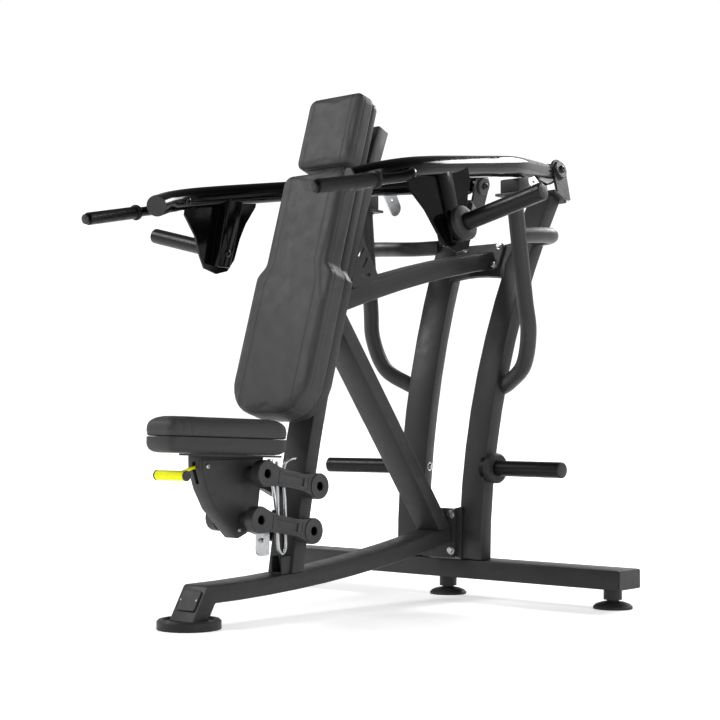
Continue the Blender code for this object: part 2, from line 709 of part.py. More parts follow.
def handles():
    """Each handle is a bent rod that turns on a bolt through the arm, and its sleeve."""
    for name, side in SIDES.items():
        rear = Vector(GRIP_REAR)
        run = (Vector(GRIP_FRONT) - rear).normalized()
        straight = [rear - run * 0.085, rear, Vector(GRIP_FRONT) + run * 0.012]
        route = [(SWIVEL[0], 0.258, SWIVEL[1]), (SWIVEL[0], 0.272, SWIVEL[1] - 0.0008),
                 (SWIVEL[0] + 0.007, 0.284, SWIVEL[1] - 0.006),
                 (SWIVEL[0] + 0.022, 0.288, SWIVEL[1] - 0.014)]
        points = [Vector(p) for p in route] + straight
        line = [arm_point(side, *p) for p in flowing(points, 3)]
        handle = bent_tube("handle_" + name, line, HANDLE_ROD, GLOSS_PAINT)
        cut(handle, bent_tube("handle_room_" + name, arm_line(side), ARM_TUBE + 0.008, None, 3))
        pin_ends = [arm_point(side, SWIVEL[0], reach, SWIVEL[1]) for reach in (0.244, 0.266)]
        join(handle, rod("handle_pin_" + name, *pin_ends, 0.0170))
        place = along(arm_point(side, *rear), arm_point(side, *GRIP_FRONT))
        length = (Vector(GRIP_FRONT) - rear).length
        inside = HANDLE_ROD / 2 + 2 * GAP
        grip = turned("grip_" + name,
                      [(inside, length), (GRIP / 2 - 0.002, length), (GRIP / 2, length - 0.003),
                       (GRIP / 2, 0.012), (0.0235, 0.010), (0.0245, 0.006), (0.0235, 0.0),
                       (inside, 0.0)], place, RUBBER, ring=True)
        for piece in (smooth(handle), smooth(grip)):
            attach(piece, PIVOTS["handle_" + name])
        turn_at_rest(PIVOTS["handle_" + name], side)


def turn_at_rest(pivot, side):
    """Tilt a handle about its bolt to where it was last left; positive lifts the grip."""
    pivot.rotation_mode = "XYZ"
    pivot.matrix_world = pivot.matrix_world @ Matrix.Rotation(HANDLE_TILT[side], 4, "Z")


# ---------------------------------------------------------------- seat

def link_offset():
    return Vector((-LINK * cos(LINK_ANGLE), LINK * sin(LINK_ANGLE)))


def dog_bone(hub, waist, count=8):
    """A link outline about its rear pivot: two hubs and the waisted bar between them."""
    run = link_offset()
    heading = run.normalized()
    across = Vector((-heading.y, heading.x))
    outline = []
    for centre, outwards in ((Vector((0, 0)), -heading), (run, heading)):
        turn = across if outwards == -heading else -across
        for step in range(count + 1):
            angle = pi * (step / count - 0.5) * 1.30
            outline.append(centre + outwards * hub * cos(angle) - turn * hub * sin(angle))
        for reach, half in ((0.045, 1.15 * waist), (0.070, waist), (LINK - 0.070, waist),
                            (LINK - 0.045, 1.15 * waist)):
            outline.append(centre - outwards * reach - turn * half)
    return [tuple(p) for p in outline]


def seat_links():
    hub, waist = 0.0385, 0.024
    for row, pivot in (("upper", UPPER_LINK_PIVOT), ("lower", LOWER_LINK_PIVOT)):
        for name, side in SIDES.items():
            middle = side * sum(LINK_X) / 2
            place = on_side_plane(middle) @ Matrix.Translation((*pivot, 0))
            link = outline_solid(f"{row}_link_{name}", dog_bone(hub, waist), LINK_X[1] - LINK_X[0],
                                 place, CAST_PAINT)
            for index, end in enumerate((Vector((0, 0)), link_offset())):
                y, z = Vector(pivot) + end
                start = (side * (LINK_X[0] - 0.002), y, z)
                boss_end = side * (TUBE / 2 + 0.001 if index == 0 else 0.0275)
                boss = rod(f"{row}_boss_{name}_{index}", (boss_end, y, z), (side * 0.07, y, z), 0.040)
                hole = rod(f"{row}_socket_{name}_{index}", (side * 0.080, y, z),
                           (side * 0.10, y, z), 0.026, sides=16)
                join(link, boss)
                cut(link, hole)
            recess_line = [link_offset() * t for t in (0.30, 0.70)]
            panel = strip([tuple(p) for p in recess_line], -0.012, 0.012)
            recess = outline_solid(f"{row}_recess_{name}", panel, 0.008,
                                   on_side_plane(side * (LINK_X[1] + 0.0005))
                                   @ Matrix.Translation((*pivot, 0)))
            cut(link, recess)
            attach(link, PIVOTS[row + "_links"])


def seat_carriage():
    """The moulded housing under the seat: it rides on the front pivots of the links."""
    profile = [(-1.087, 0.4745), (-1.086, 0.434), (-1.067, 0.379), (-1.033, 0.322), (-0.942, 0.236),
               (-0.905, 0.250), (-0.862, 0.300), (-0.838, 0.4660)]
    carriage = outline_solid("seat_carriage", rounded(profile, [0, 0, 0, 0, 0.012, 0.012, 0.02, 0], 3),
                             DEPTH, SIDE_VIEW, MOULDED, 0.003)
    slot = box("lever_slot", (0, -1.092, 0.425), (0.0135, 0.105, 0.062))
    cut(carriage, slot)
    spring_room = box("spring_room", (0, -0.835, 0.36), (0.036, 0.075, 0.4))
    plate = outline_solid("seat_mount", [(-0.060, -0.0545), (0.060, -0.0545), (0.060, 0.2325),
                                         (-0.060, 0.2325)], 0.006, seat_place(0.4732), None)
    y, z = LEVER_PIVOT
    pin = rod("lever_pin", (-0.015, y, z), (0.015, y, z), 0.0080, sides=12)
    cut(carriage, spring_room)
    join(carriage, plate, pin)
    attach(carriage, PIVOTS["seat"])


SEAT_TILT = radians(2)


def seat_place(z):
    return Matrix.Translation((0, -1.0325, z)) @ Matrix.Rotation(-SEAT_TILT, 4, "X")


def seat_outline(grow=0.0):
    corners = [(-0.055 - grow, -0.1875 - grow), (0.055 + grow, -0.1875 - grow),
               (0.149 + grow, 0.1875 + grow), (-0.149 - grow, 0.1875 + grow)]
    return rounded(corners, [0.022, 0.022, 0.030, 0.030], 4)


def lofted(name, loops, place, look):
    """A closed solid through outlines of equal length, each at its height, from below."""
    mesh = bpy.data.meshes.new(name)
    shape = bmesh.new()
    rings = [[shape.verts.new((*point, height)) for point in outline] for outline, height in loops]
    count = len(rings[0])
    for lower, upper in zip(rings, rings[1:]):
        for i in range(count):
            j = (i + 1) % count
            shape.faces.new((lower[i], lower[j], upper[j], upper[i]))
    shape.faces.new(rings[0][::-1])
    shape.faces.new(rings[-1])
    bmesh.ops.recalc_face_normals(shape, faces=shape.faces)
    shape.to_mesh(mesh)
    shape.free()
    return smooth(place_object(name, mesh, place, MACHINE, look))


def seat_pads():
    rim = ((-0.024, -0.0220), (-0.013, -0.0195), (-0.005, -0.0130), (-0.001, -0.0040),
           (0.0, 0.0060), (0.0, 0.0220))
    base = lofted("seat_base", [(seat_outline(grow), height) for grow, height in rim],
                  seat_place(0.4985), MOULDED)
    cushion = outline_solid("seat_cushion", seat_outline(), 0.055, seat_place(0.5490), LEATHERETTE,
                            0.012)
    for piece in (base, cushion):
        attach(piece, PIVOTS["seat"])


SPRING_FOOT = (0.020, -0.756, 0.163)
SPRING_HEAD = (0.020, -0.806, 0.450)


def gas_spring():
    """The strut that carries the seat's weight while the lever is lifted."""
    low, high = Vector(SPRING_FOOT), Vector(SPRING_HEAD)
    run = (high - low).normalized()
    place = along(low, high)
    body = turned("gas_spring_body",
                  [(0, 0.150), (0.0120, 0.150), (0.0132, 0.147), (0.0132, 0.032), (0.009, 0.026),
                   (0.009, -0.008), (0, -0.008)], place, MOULDED, 16)
    cut(body, rod("gas_spring_bore", low + run * 0.040, low + run * 0.200, 0.0108, sides=16))
    stem = turned("gas_spring_rod",
                  [(0, 0.300), (0.008, 0.300), (0.008, 0.272), (0.005, 0.268), (0.005, 0.0925),
                   (0, 0.0925)], place, STEEL, 16)
    attach(body, PIVOTS["gas_spring"])
    attach(stem, PIVOTS["gas_spring"])


def spring_bracket():
    """A channel at the foot of the mast that holds the strut's lower end."""
    outline = rounded([(-0.736, 0.112), (-0.736, 0.177), (-0.778, 0.177), (-0.778, 0.112)],
                      [0, 0.004, 0.008, 0], 3)
    middle = 0.018
    bracket = outline_solid("spring_bracket", outline, 0.046, on_side_plane(middle), FRAME_PAINT)
    room = box("spring_bracket_room", (middle, -0.7845, 0.171), (0.036, 0.083, 0.080))
    cut(bracket, room, SPACES["mast"], SPACES["base"])


def lock_plate():
    """The zinc plate on the housing's side that the seat's latch closes on."""
    outline = rounded([(-0.872, 0.306), (-0.872, 0.183), (-0.820, 0.183), (-0.820, 0.268),
                       (-0.846, 0.282), (-0.846, 0.306)], [0.004, 0.018, 0.010, 0.004, 0.004, 0.004], 3)
    plate = outline_solid("lock_plate", outline, 0.006, on_side_plane(0.0283), ZINC)
    attach(plate, PIVOTS["seat"])


def release_lever():
    """The yellow handle that unlocks the seat: it tips up about a bolt in the housing."""
    y, z = LEVER_PIVOT
    route = [(0, y, z), (0, y - 0.030, z - 0.004), (0, y - 0.070, z - 0.015),
             (0, -1.168, 0.420)]
    lever = bent_tube("release_lever", flowing(route, 3), 0.009, ZINC)
    hub = rod("lever_hub", (-0.006, y, z), (0.006, y, z), 0.020, sides=16)
    join(lever, hub)
    cut(lever, rod("lever_bore", (-0.02, y, z), (0.02, y, z), 0.0084, sides=16))
    tip = route[-1]
    grip = turned("lever_grip",
                  [(0, 0.057), (0.0125, 0.057), (0.0140, 0.055), (0.0140, -0.055), (0.0125, -0.057),
                   (0, -0.057)], along(tip, (1, *tip[1:])), YELLOW, 16)
    cut(grip, bent_tube("lever_seat", flowing(route, 3), 0.0096))
    for piece in (lever, grip):
        attach(piece, PIVOTS["lever"])


# ---------------------------------------------------------------- back and head pads

BACK_PAD_BASE = (0, -0.8200, 0.5900)    # foot of the front face
BACK_PAD_LENGTH = 0.762
HEAD_PAD_BASE = (0, -0.5720, 1.3400)
HEAD_PAD_LENGTH = 0.238


def back_outline(inset=0.0):
    """Narrow shoulders above a wide lower part, with a well rounded lower end."""
    low, high, length = 0.155 - inset, 0.125 - inset, BACK_PAD_LENGTH - inset
    right = [(high, length), (high, 0.465), (low, 0.432), (low, inset)]
    left = [(-x, y) for x, y in right[::-1]]
    return rounded(left + right, [0.105, 0.02, 0.02, 0.025, 0.025, 0.02, 0.02, 0.105], 4)


def head_outline(inset=0.0):
    half, length = 0.110 - inset, HEAD_PAD_LENGTH - inset
    corners = [(-half, inset), (half, inset), (half, length), (-half, length)]
    return rounded(corners, 0.026, 4)


def cushion_and_board(name, base, lean, outline, cushion, board):
    """A cushion, and behind a narrow groove the board that it is upholstered on."""
    place = leaning(base, lean)
    front = place @ Matrix.Translation((0, 0, -cushion / 2))
    rear = place @ Matrix.Translation((0, 0, -cushion - 0.003 - board / 2))
    outline_solid(name + "_pad", outline(), cushion, front, LEATHERETTE, 0.014)
    outline_solid(name + "_board", outline(0.006), board, rear, MOULDED, 0.005)


def pads():
    cushion_and_board("back", BACK_PAD_BASE, PAD_LEAN, back_outline, 0.072, 0.035)
    cushion_and_board("head", HEAD_PAD_BASE, PAD_LEAN, head_outline, 0.062, 0.024)


# ---------------------------------------------------------------- assembly

def pivot(name, place):
    empty = bpy.data.objects.new(name + "_pivot", None)
    empty.empty_display_size = 0.05
    empty.matrix_world = place
    MACHINE.objects.link(empty)
    return empty


def attach(obj, empty):
    """Hang an object, and what cuts it, on an empty that lies on its joint's axis."""
    tools = [step.object for step in obj.modifiers if step.type == "BOOLEAN"]
    for piece in [obj, *tools]:
        world = piece.matrix_world.copy()
        piece.parent = empty
        piece.matrix_parent_inverse = empty.matrix_world.inverted()
        piece.matrix_basis = world
    return obj


def make_pivots():
    pivots = {}
    for name, side in SIDES.items():
        pivots["arm_" + name] = pivot("arm_" + name, arm_place(side))
        swivel = arm_place(side) @ Matrix.Translation((*SWIVEL, -side * 0.25))
        pivots["handle_" + name] = pivot("handle_" + name, swivel)
    upper, lower = Vector(UPPER_LINK_PIVOT), Vector(LOWER_LINK_PIVOT)
    pivots["upper_links"] = pivot("upper_links", Matrix.Translation((0, *upper)))
    pivots["lower_links"] = pivot("lower_links", Matrix.Translation((0, *lower)))
    pivots["seat"] = pivot("seat", Matrix.Translation((0, *(lower + link_offset()))))
    pivots["gas_spring"] = pivot("gas_spring", Matrix.Translation(SPRING_FOOT))
    pivots["lever"] = pivot("lever", Matrix.Translation((0, *LEVER_PIVOT)))
    return pivots


def board_space():
    """The room behind the boards, so that the brackets end on their backs."""
    spaces = None
    for name, base, outline, thick in (("back", BACK_PAD_BASE, back_outline, 0.110),
                                       ("head", HEAD_PAD_BASE, head_outline, 0.089)):
        place = leaning(base, PAD_LEAN) @ Matrix.Translation((0, 0, 0.05 - thick / 2 - 0.00015))
        space = outline_solid("board_space_" + name, outline(-0.05), thick + 0.1003, place)
        spaces = join(space, spaces) if spaces else space
    return spaces


SPACES = {
    "mast": member_space("mast_space", MAST_PATH, DEPTH),
    "base": member_space("base_space", BASE_PATH, -DEPTH),
    "boards": board_space(),
}
for space in SPACES.values():
    space.hide_render = True
PIVOTS = make_pivots()

crossbeam()
levelling_feet()
front_foot()
base_beam()
badge_plate()
posts()
joint_plates()
upper_beam()
diagonal_brace()
seat_mast()
guards()
stop_bumpers()
storage_horns()
pivot_brackets()
arms()
arm_gussets()
weight_horns()
stop_plates()
handles()
seat_links()
seat_carriage()
seat_pads()
gas_spring()
spring_bracket()
lock_plate()
release_lever()
pads()

root = pivot("machine", Matrix())
bpy.context.view_layer.update()
for obj in [*MACHINE.objects, *CUTTERS.objects]:
    if obj.parent is None and obj is not root:
        obj.parent = root
root.location.y = MACHINE_Y
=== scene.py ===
"""Looks for the plate-loaded overhead press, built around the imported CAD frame.

Metres, +Z up. The user faces -Y, and their left is +X. Points on the machine are given with
Y = 0 on the crossbeam's front face, and at() moves them back by REAR.
"""
import json
from math import cos, exp, pi, radians, sin, sqrt, tan

import bmesh
import bpy
from mathutils import Matrix, Vector
from mathutils.bvhtree import BVHTree


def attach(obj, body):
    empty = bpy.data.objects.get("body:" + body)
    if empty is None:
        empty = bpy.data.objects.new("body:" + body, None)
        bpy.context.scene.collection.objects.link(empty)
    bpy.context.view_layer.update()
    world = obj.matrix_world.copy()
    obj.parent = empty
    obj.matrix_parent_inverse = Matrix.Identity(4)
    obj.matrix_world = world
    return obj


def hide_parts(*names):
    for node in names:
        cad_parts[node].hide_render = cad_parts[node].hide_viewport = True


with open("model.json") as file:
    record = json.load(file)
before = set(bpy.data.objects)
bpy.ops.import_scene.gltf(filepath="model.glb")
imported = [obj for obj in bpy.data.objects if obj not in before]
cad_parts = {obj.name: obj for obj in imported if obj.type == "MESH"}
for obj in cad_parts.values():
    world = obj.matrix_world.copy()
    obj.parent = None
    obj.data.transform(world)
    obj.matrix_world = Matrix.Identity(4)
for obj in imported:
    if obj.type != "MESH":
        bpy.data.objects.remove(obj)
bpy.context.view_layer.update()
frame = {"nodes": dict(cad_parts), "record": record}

REAR = 0.3850                   # the crossbeam's front face, behind the footprint's centre
SIDES = {"left": 1, "right": -1}
SCENE = bpy.context.scene


# -------------------- camera

CAMERA_AT = (3.1490, -3.6309, 0.5684)
LOOKING = (-0.6551, 0.7546, 0.0392)


def make_camera():
    """The default view of the machine: low, from its front left corner."""
    data = bpy.data.cameras.new("camera")
    data.lens = 77.5
    data.sensor_width = 36
    camera = bpy.data.objects.new("camera", data)
    SCENE.collection.objects.link(camera)
    camera.location = CAMERA_AT
    camera.rotation_euler = Vector(LOOKING).to_track_quat("-Z", "Y").to_euler()
    SCENE.camera = camera


make_camera()


# -------------------- materials

def map_range(tree, value, low, high, start, end):
    """A node that takes a value's run from start to end to low and high."""
    node = tree.nodes.new("ShaderNodeMapRange")
    for name, number in (("From Min", start), ("From Max", end), ("To Min", low),
                         ("To Max", high)):
        node.inputs[name].default_value = number
    tree.links.new(value, node.inputs["Value"])
    return node


class Shader:
    """A Principled material with a few helpers to wire procedural detail into it."""

    def __init__(self, name, colour, roughness, metallic=0.0, **inputs):
        self.material = bpy.data.materials.new(name)
        self.material.use_nodes = True
        self.tree = self.material.node_tree
        self.main = self.tree.nodes["Principled BSDF"]
        self.place = self.tree.nodes.new("ShaderNodeTexCoord").outputs["Object"]
        self.normal = None
        self.set(Base_Color=(*colour, 1), Roughness=roughness, Metallic=metallic, **inputs)

    def set(self, **inputs):
        for name, value in inputs.items():
            self.main.inputs[name.replace("_", " ")].default_value = value

    def node(self, kind, **values):
        made = self.tree.nodes.new(kind)
        for name, value in values.items():
            setattr(made, name, value)
        return made

    def link(self, output, target):
        self.tree.links.new(output, target)

    def noise(self, scale, detail=3.0, stretch=None):
        made = self.node("ShaderNodeTexNoise")
        made.inputs["Scale"].default_value = scale
        made.inputs["Detail"].default_value = detail
        source = self.place
        if stretch:
            mapping = self.node("ShaderNodeMapping")
            mapping.inputs["Scale"].default_value = stretch
            self.link(source, mapping.inputs["Vector"])
            source = mapping.outputs["Vector"]
        self.link(source, made.inputs["Vector"])
        return made.outputs["Fac"]

    def cells(self, scale, feature="DISTANCE_TO_EDGE"):
        made = self.node("ShaderNodeTexVoronoi", feature=feature)
        made.inputs["Scale"].default_value = scale
        self.link(self.place, made.inputs["Vector"])
        return made.outputs["Distance"]

    def range(self, value, low, high, start=0.3, end=0.7):
        return map_range(self.tree, value, low, high, start, end).outputs["Result"]

    def clouds(self, *noise):
        """A noise spread over the whole run from 0 to 1."""
        return self.range(self.noise(*noise), 0, 1)

    def rough(self, low, high, *noise):
        """Let the roughness wander between two values."""
        self.link(self.range(self.noise(*noise), low, high), self.main.inputs["Roughness"])

    def mix_colour(self, factor, first, second, target="Base Color"):
        made = self.node("ShaderNodeMix", data_type="RGBA")
        self.link(factor, made.inputs["Factor"])
        for socket, value in ((made.inputs[6], first), (made.inputs[7], second)):
            if isinstance(value, tuple):
                socket.default_value = (*value, 1)
            else:
                self.link(value, socket)
        if target:
            self.link(made.outputs[2], self.main.inputs[target])
        return made.outputs[2]

    def bump(self, height, distance, strength=1.0):
        made = self.node("ShaderNodeBump")
        made.inputs["Distance"].default_value = distance
        made.inputs["Strength"].default_value = strength
        self.link(height, made.inputs["Height"])
        if self.normal:
            self.link(self.normal, made.inputs["Normal"])
        self.normal = made.outputs["Normal"]
        self.link(self.normal, self.main.inputs["Normal"])

    def soften(self, radius):
        """Round every edge a little, and return a mask that is high along the edges."""
        made = self.node("ShaderNodeBevel", samples=4)
        made.inputs["Radius"].default_value = radius
        self.normal = made.outputs["Normal"]
        self.link(self.normal, self.main.inputs["Normal"])
        flat = self.node("ShaderNodeNewGeometry")
        dot = self.node("ShaderNodeVectorMath", operation="DOT_PRODUCT")
        self.link(made.outputs["Normal"], dot.inputs[0])
        self.link(flat.outputs["Normal"], dot.inputs[1])
        return self.range(dot.outputs["Value"], 1.0, 0.0, 0.80, 0.999)

    def times(self, first, second):
        made = self.node("ShaderNodeMath", operation="MULTIPLY")
        for socket, value in zip(made.inputs, (first, second)):
            if isinstance(value, (int, float)):
                socket.default_value = value
            else:
                self.link(value, socket)
        return made.outputs["Value"]


def frame_paint():
    """Matte charcoal powder coat: fine orange peel, and lighter along its edges, partly a painted
    edge highlight and partly light wear.
    """
    s = Shader("frame_paint", (0.016, 0.016, 0.017), 0.5, Specular_IOR_Level=0.28)
    edge = s.soften(0.0022)
    # the lighter edges are partly a painted edge highlight and partly light wear, broken up by
    # noise
    edge_wear_and_highlight = s.times(edge, s.range(s.noise(60.0), 0.15, 0.9))
    clouds = s.clouds(7.0, 5.0)
    body = s.mix_colour(clouds, (0.021, 0.021, 0.022), (0.028, 0.028, 0.029), None)
    s.mix_colour(edge_wear_and_highlight, body, (0.060, 0.060, 0.062))
    s.rough(0.40, 0.52, 35.0, 4.0)
    s.bump(s.noise(1500.0, 2.0), 0.00012, 0.5)
    s.bump(s.cells(900.0, "SMOOTH_F1"), 0.00008, 0.35)
    return s.material


def gloss_paint():
    """Gloss black lacquer with a slight orange peel and fine dust in its sheen."""
    s = Shader("gloss_paint", (0.002, 0.002, 0.0022), 0.12, Specular_IOR_Level=0.11)
    edge = s.soften(0.0012)
    # the edges are painted lighter: a painted edge highlight
    s.mix_colour(s.times(edge, 0.5), (0.0016, 0.0016, 0.0018), (0.016, 0.016, 0.017))
    s.rough(0.07, 0.16, 25.0, 5.0)
    s.bump(s.noise(120.0, 1.0), 0.00006, 0.4)
    return s.material


def satin_black():
    """Black satin paint, thinly rubbed by plates sliding on and off, with a painted highlight along
    its edges.
    """
    s = Shader("satin_black", (0.008, 0.008, 0.0085), 0.36, Specular_IOR_Level=0.21)
    edge = s.soften(0.0012)
    rubbed = s.range(s.noise(26.0, 6.0, (1, 6, 6)), 0, 1, 0.45, 0.75)
    body = s.mix_colour(rubbed, (0.004, 0.004, 0.0043), (0.008, 0.008, 0.0083), None)
    # the edges are painted lighter: a painted edge highlight
    s.mix_colour(s.times(edge, 0.7), body, (0.035, 0.035, 0.036))
    s.rough(0.30, 0.44, 40.0, 4.0)
    s.bump(s.noise(1200.0, 2.0), 0.00008, 0.5)
    return s.material


def cast_paint():
    """Satin paint over a casting: softly uneven and a little rough."""
    s = Shader("cast_paint", (0.022, 0.022, 0.024), 0.42, Specular_IOR_Level=0.30)
    edge = s.soften(0.0016)
    body = s.mix_colour(s.clouds(18.0, 4.0), (0.026, 0.026, 0.028),
                        (0.037, 0.037, 0.039), None)
    # the edges are painted lighter: a painted edge highlight, broken up by noise
    s.mix_colour(s.times(edge, s.range(s.noise(80.0), 0.1, 0.8)), body, (0.070, 0.070, 0.073))
    s.rough(0.34, 0.48, 30.0, 4.0)
    s.bump(s.noise(300.0, 4.0), 0.0002, 0.5)
    return s.material


def leatherette():
    """Black upholstery leather: a pebbled grain with fine creases between the pebbles."""
    s = Shader("leatherette", (0.035, 0.035, 0.036), 0.52, Specular_IOR_Level=0.28,
               Sheen_Weight=0.02, Sheen_Roughness=0.4)
    s.mix_colour(s.clouds(9.0, 6.0), (0.034, 0.034, 0.035), (0.038, 0.038, 0.039))
    s.rough(0.46, 0.60, 22.0, 5.0)
    s.bump(s.range(s.cells(780.0), 0, 1, 0.0, 0.12), 0.00016, 0.55)
    s.bump(s.noise(2600.0, 2.0), 0.00005, 0.5)
    s.bump(s.noise(40.0, 3.0), 0.0006, 0.35)
    return s.material


def moulded_plastic():
    """Fine-grained black moulded plastic."""
    s = Shader("moulded_plastic", (0.020, 0.020, 0.021), 0.45, Specular_IOR_Level=0.30)
    edge = s.soften(0.0015)
    # the edges are painted lighter: a painted edge highlight
    s.mix_colour(edge, (0.024, 0.024, 0.025), (0.048, 0.048, 0.050))
    s.rough(0.38, 0.52, 45.0, 4.0)
    s.bump(s.cells(1600.0, "F1"), 0.00008, 0.5)
    return s.material


def rubber():
    """Black rubber: dull, with a faint bloom of grey in patches."""
    s = Shader("rubber", (0.018, 0.018, 0.018), 0.6, Specular_IOR_Level=0.22)
    s.soften(0.0012)
    s.mix_colour(s.clouds(30.0, 6.0), (0.019, 0.019, 0.0195),
                 (0.027, 0.027, 0.0275))
    s.rough(0.42, 0.60, 55.0, 4.0)
    s.bump(s.noise(900.0, 3.0), 0.00010, 0.5)
    return s.material


def grip_rubber():
    """The handles' sleeves: rubber with a close-set diamond texture."""
    s = Shader("grip_rubber", (0.016, 0.016, 0.016), 0.5, Specular_IOR_Level=0.16)
    s.mix_colour(s.clouds(40.0, 6.0), (0.004, 0.004, 0.0043), (0.007, 0.007, 0.0073))
    s.rough(0.34, 0.50, 60.0, 4.0)
    s.bump(s.cells(420.0, "F1"), 0.00025, 0.5)
    return s.material


def zinc():
    """Bright zinc plate over rolled steel: fine directional lines and mottling."""
    s = Shader("zinc", (0.66, 0.67, 0.68), 0.28, 1.0)
    s.soften(0.0008)
    s.mix_colour(s.clouds(70.0, 5.0), (0.36, 0.37, 0.38), (0.48, 0.49, 0.50))
    s.rough(0.20, 0.40, 160.0, 3.0, (1, 1, 14))
    s.bump(s.noise(420.0, 2.0, (1, 1, 10)), 0.00006, 0.5)
    return s.material


def polished_steel():
    """A ground and polished rod."""
    s = Shader("polished_steel", (0.60, 0.61, 0.63), 0.12, 1.0)
    s.rough(0.07, 0.18, 900.0, 2.0, (1, 1, 0.05))
    s.bump(s.noise(1500.0, 1.0, (1, 1, 0.05)), 0.00002, 0.4)
    return s.material


def yellow_plastic():
    """Signal yellow moulded plastic with a fine satin grain."""
    s = Shader("yellow_plastic", (0.80, 0.82, 0.003), 0.38, Specular_IOR_Level=0.15)
    s.soften(0.0008)
    s.mix_colour(s.clouds(60.0, 5.0), (0.76, 0.79, 0.001), (0.84, 0.87, 0.002))
    s.rough(0.30, 0.44, 120.0, 3.0)
    s.bump(s.noise(1400.0, 2.0), 0.00006, 0.4)
    return s.material


def dark_fastener():
    """Black-oxide screws: dark, oily and slightly brown."""
    s = Shader("dark_fastener", (0.020, 0.019, 0.019), 0.32, 0.9)
    s.soften(0.0006)
    s.mix_colour(s.clouds(140.0, 4.0), (0.016, 0.015, 0.015), (0.040, 0.038, 0.037))
    s.rough(0.24, 0.42, 200.0, 3.0)
    s.bump(s.noise(700.0, 2.0), 0.00004, 0.5)
    return s.material


def thread():
    """Twisted black sewing thread."""
    s = Shader("thread", (0.020, 0.020, 0.021), 0.6, 0.0, Sheen_Weight=0.3)
    s.mix_colour(s.clouds(700.0, 3.0), (0.014, 0.014, 0.015), (0.045, 0.045, 0.047))
    s.rough(0.50, 0.70, 900.0, 2.0)
    s.bump(s.noise(1800.0, 1.0, (1, 6, 1)), 0.0001, 0.6)
    return s.material


def floor_paint():
    """A pale studio floor that grows into the white background away from the machine."""
    s = Shader("studio_floor", (0.88, 0.88, 0.88), 0.55, Emission_Color=(1, 1, 1, 1))
    away = s.node("ShaderNodeVectorMath", operation="LENGTH")
    s.link(s.place, away.inputs[0])
    s.link(s.range(away.outputs["Value"], 0.45, 1.20, 0.6, 3.2), s.main.inputs["Emission Strength"])
    s.rough(0.50, 0.60, 3.0, 2.0)
    return s.material


LOOKS = {make.__name__: make() for make in (
    frame_paint, gloss_paint, satin_black, cast_paint, leatherette, moulded_plastic, rubber,
    grip_rubber, zinc, polished_steel, yellow_plastic, dark_fastener, thread, floor_paint)}


# -------------------- modelling tools

def at(x, y, z):
    """A point given from the crossbeam's front face, in the frame's coordinates."""
    return Vector((x, y + REAR, z))


def smooth(obj):
    """Shade an object smooth, except along its corners."""
    obj.data.shade_smooth()
    obj.data.set_sharp_from_angle(angle=radians(35))


def new_object(name, shape):
    """Turn a bmesh into an object of the scene, and free it."""
    bmesh.ops.recalc_face_normals(shape, faces=shape.faces)
    mesh = bpy.data.meshes.new(name)
    shape.to_mesh(mesh)
    shape.free()
    obj = bpy.data.objects.new(name, mesh)
    SCENE.collection.objects.link(obj)
    return obj


def piece(name, shape, look, body):
    """Turn a bmesh into a piece that rides on a body, in the slot that its look is named after."""
    obj = new_object(name, shape)
    obj.data.materials.append(LOOKS[look])
    smooth(obj)
    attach(obj, body)
    return obj


def applied(obj):
    """Keep what the modifiers make as the object's own mesh."""
    bpy.context.view_layer.update()
    graph = bpy.context.evaluated_depsgraph_get()
    mesh = bpy.data.meshes.new_from_object(obj.evaluated_get(graph))
    obj.modifiers.clear()
    obj.data = mesh


def frame_along(start, direction):
    """A placement with its origin at start and its Z axis along direction."""
    turn = Vector(direction).to_track_quat("Z", "Y").to_matrix().to_4x4()
    return Matrix.Translation(start) @ turn


def flowing(points, per_span=5):
    """Points along the smooth curve through the given ones."""
    knots = [Vector(p) for p in points]
    knots = [2 * knots[0] - knots[1], *knots, 2 * knots[-1] - knots[-2]]
    line = []
    for a, b, c, d in zip(knots, knots[1:], knots[2:], knots[3:]):
        for step in range(per_span):
            t = step / per_span
            line.append(0.5 * (2 * b + t * (c - a) + t * t * (2 * a - 5 * b + 4 * c - d)
                               + t ** 3 * (3 * b - a - 3 * c + d)))
    return line + [knots[-2]]


def bridge(shape, first, second):
    """Join two rings of as many points with a band of faces."""
    for i in range(len(first)):
        j = (i + 1) % len(first)
        shape.faces.new((first[i], first[j], second[j], second[i]))


def sweep(shape, line, radius, sides=32, closed=False):
    """Add a round tube along a line; a radius list gives one radius per point."""
    count = len(line)
    radii = radius if isinstance(radius, list) else [radius] * count
    rings, up = [], None
    for index, point in enumerate(line):
        if closed:
            run = (line[(index + 1) % count] - line[index - 1]).normalized()
        else:
            run = (line[min(index + 1, count - 1)] - line[max(index - 1, 0)]).normalized()
        if up is None:
            up = run.orthogonal().normalized()
        up = (up - run * up.dot(run)).normalized()
        side = run.cross(up)
        ring = []
        for step in range(sides):
            angle = 2 * pi * step / sides
            offset = up * cos(angle) + side * sin(angle)
            ring.append(shape.verts.new(point + offset * radii[index]))
        rings.append(ring)
    pairs = list(zip(rings, rings[1:])) + ([(rings[-1], rings[0])] if closed else [])
    for first, second in pairs:
        bridge(shape, first, second)
    if not closed:
        shape.faces.new(rings[0][::-1])
        shape.faces.new(rings[-1])


def lathe(shape, profile, place, steps=40):
    """Add a solid of (radius, height) turned about the placement's Z axis."""
    rings = []
    for radius, height in profile:
        if radius < 1e-6:
            rings.append([shape.verts.new(place @ Vector((0, 0, height)))])
        else:
            rings.append([shape.verts.new(place @ Vector((radius * cos(2 * pi * i / steps),
                                                          radius * sin(2 * pi * i / steps),
                                                          height))) for i in range(steps)])
    for first, second in zip(rings, rings[1:]):
        for i in range(steps):
            j = (i + 1) % steps
            if len(first) == 1 and len(second) == 1:
                continue
            if len(first) == 1:
                shape.faces.new((first[0], second[i], second[j]))
            elif len(second) == 1:
                shape.faces.new((first[i], second[0], first[j]))
            else:
                shape.faces.new((first[i], second[i], second[j], first[j]))
    for ring in (rings[0], rings[-1]):
        if len(ring) > 1:
            shape.faces.new(ring)


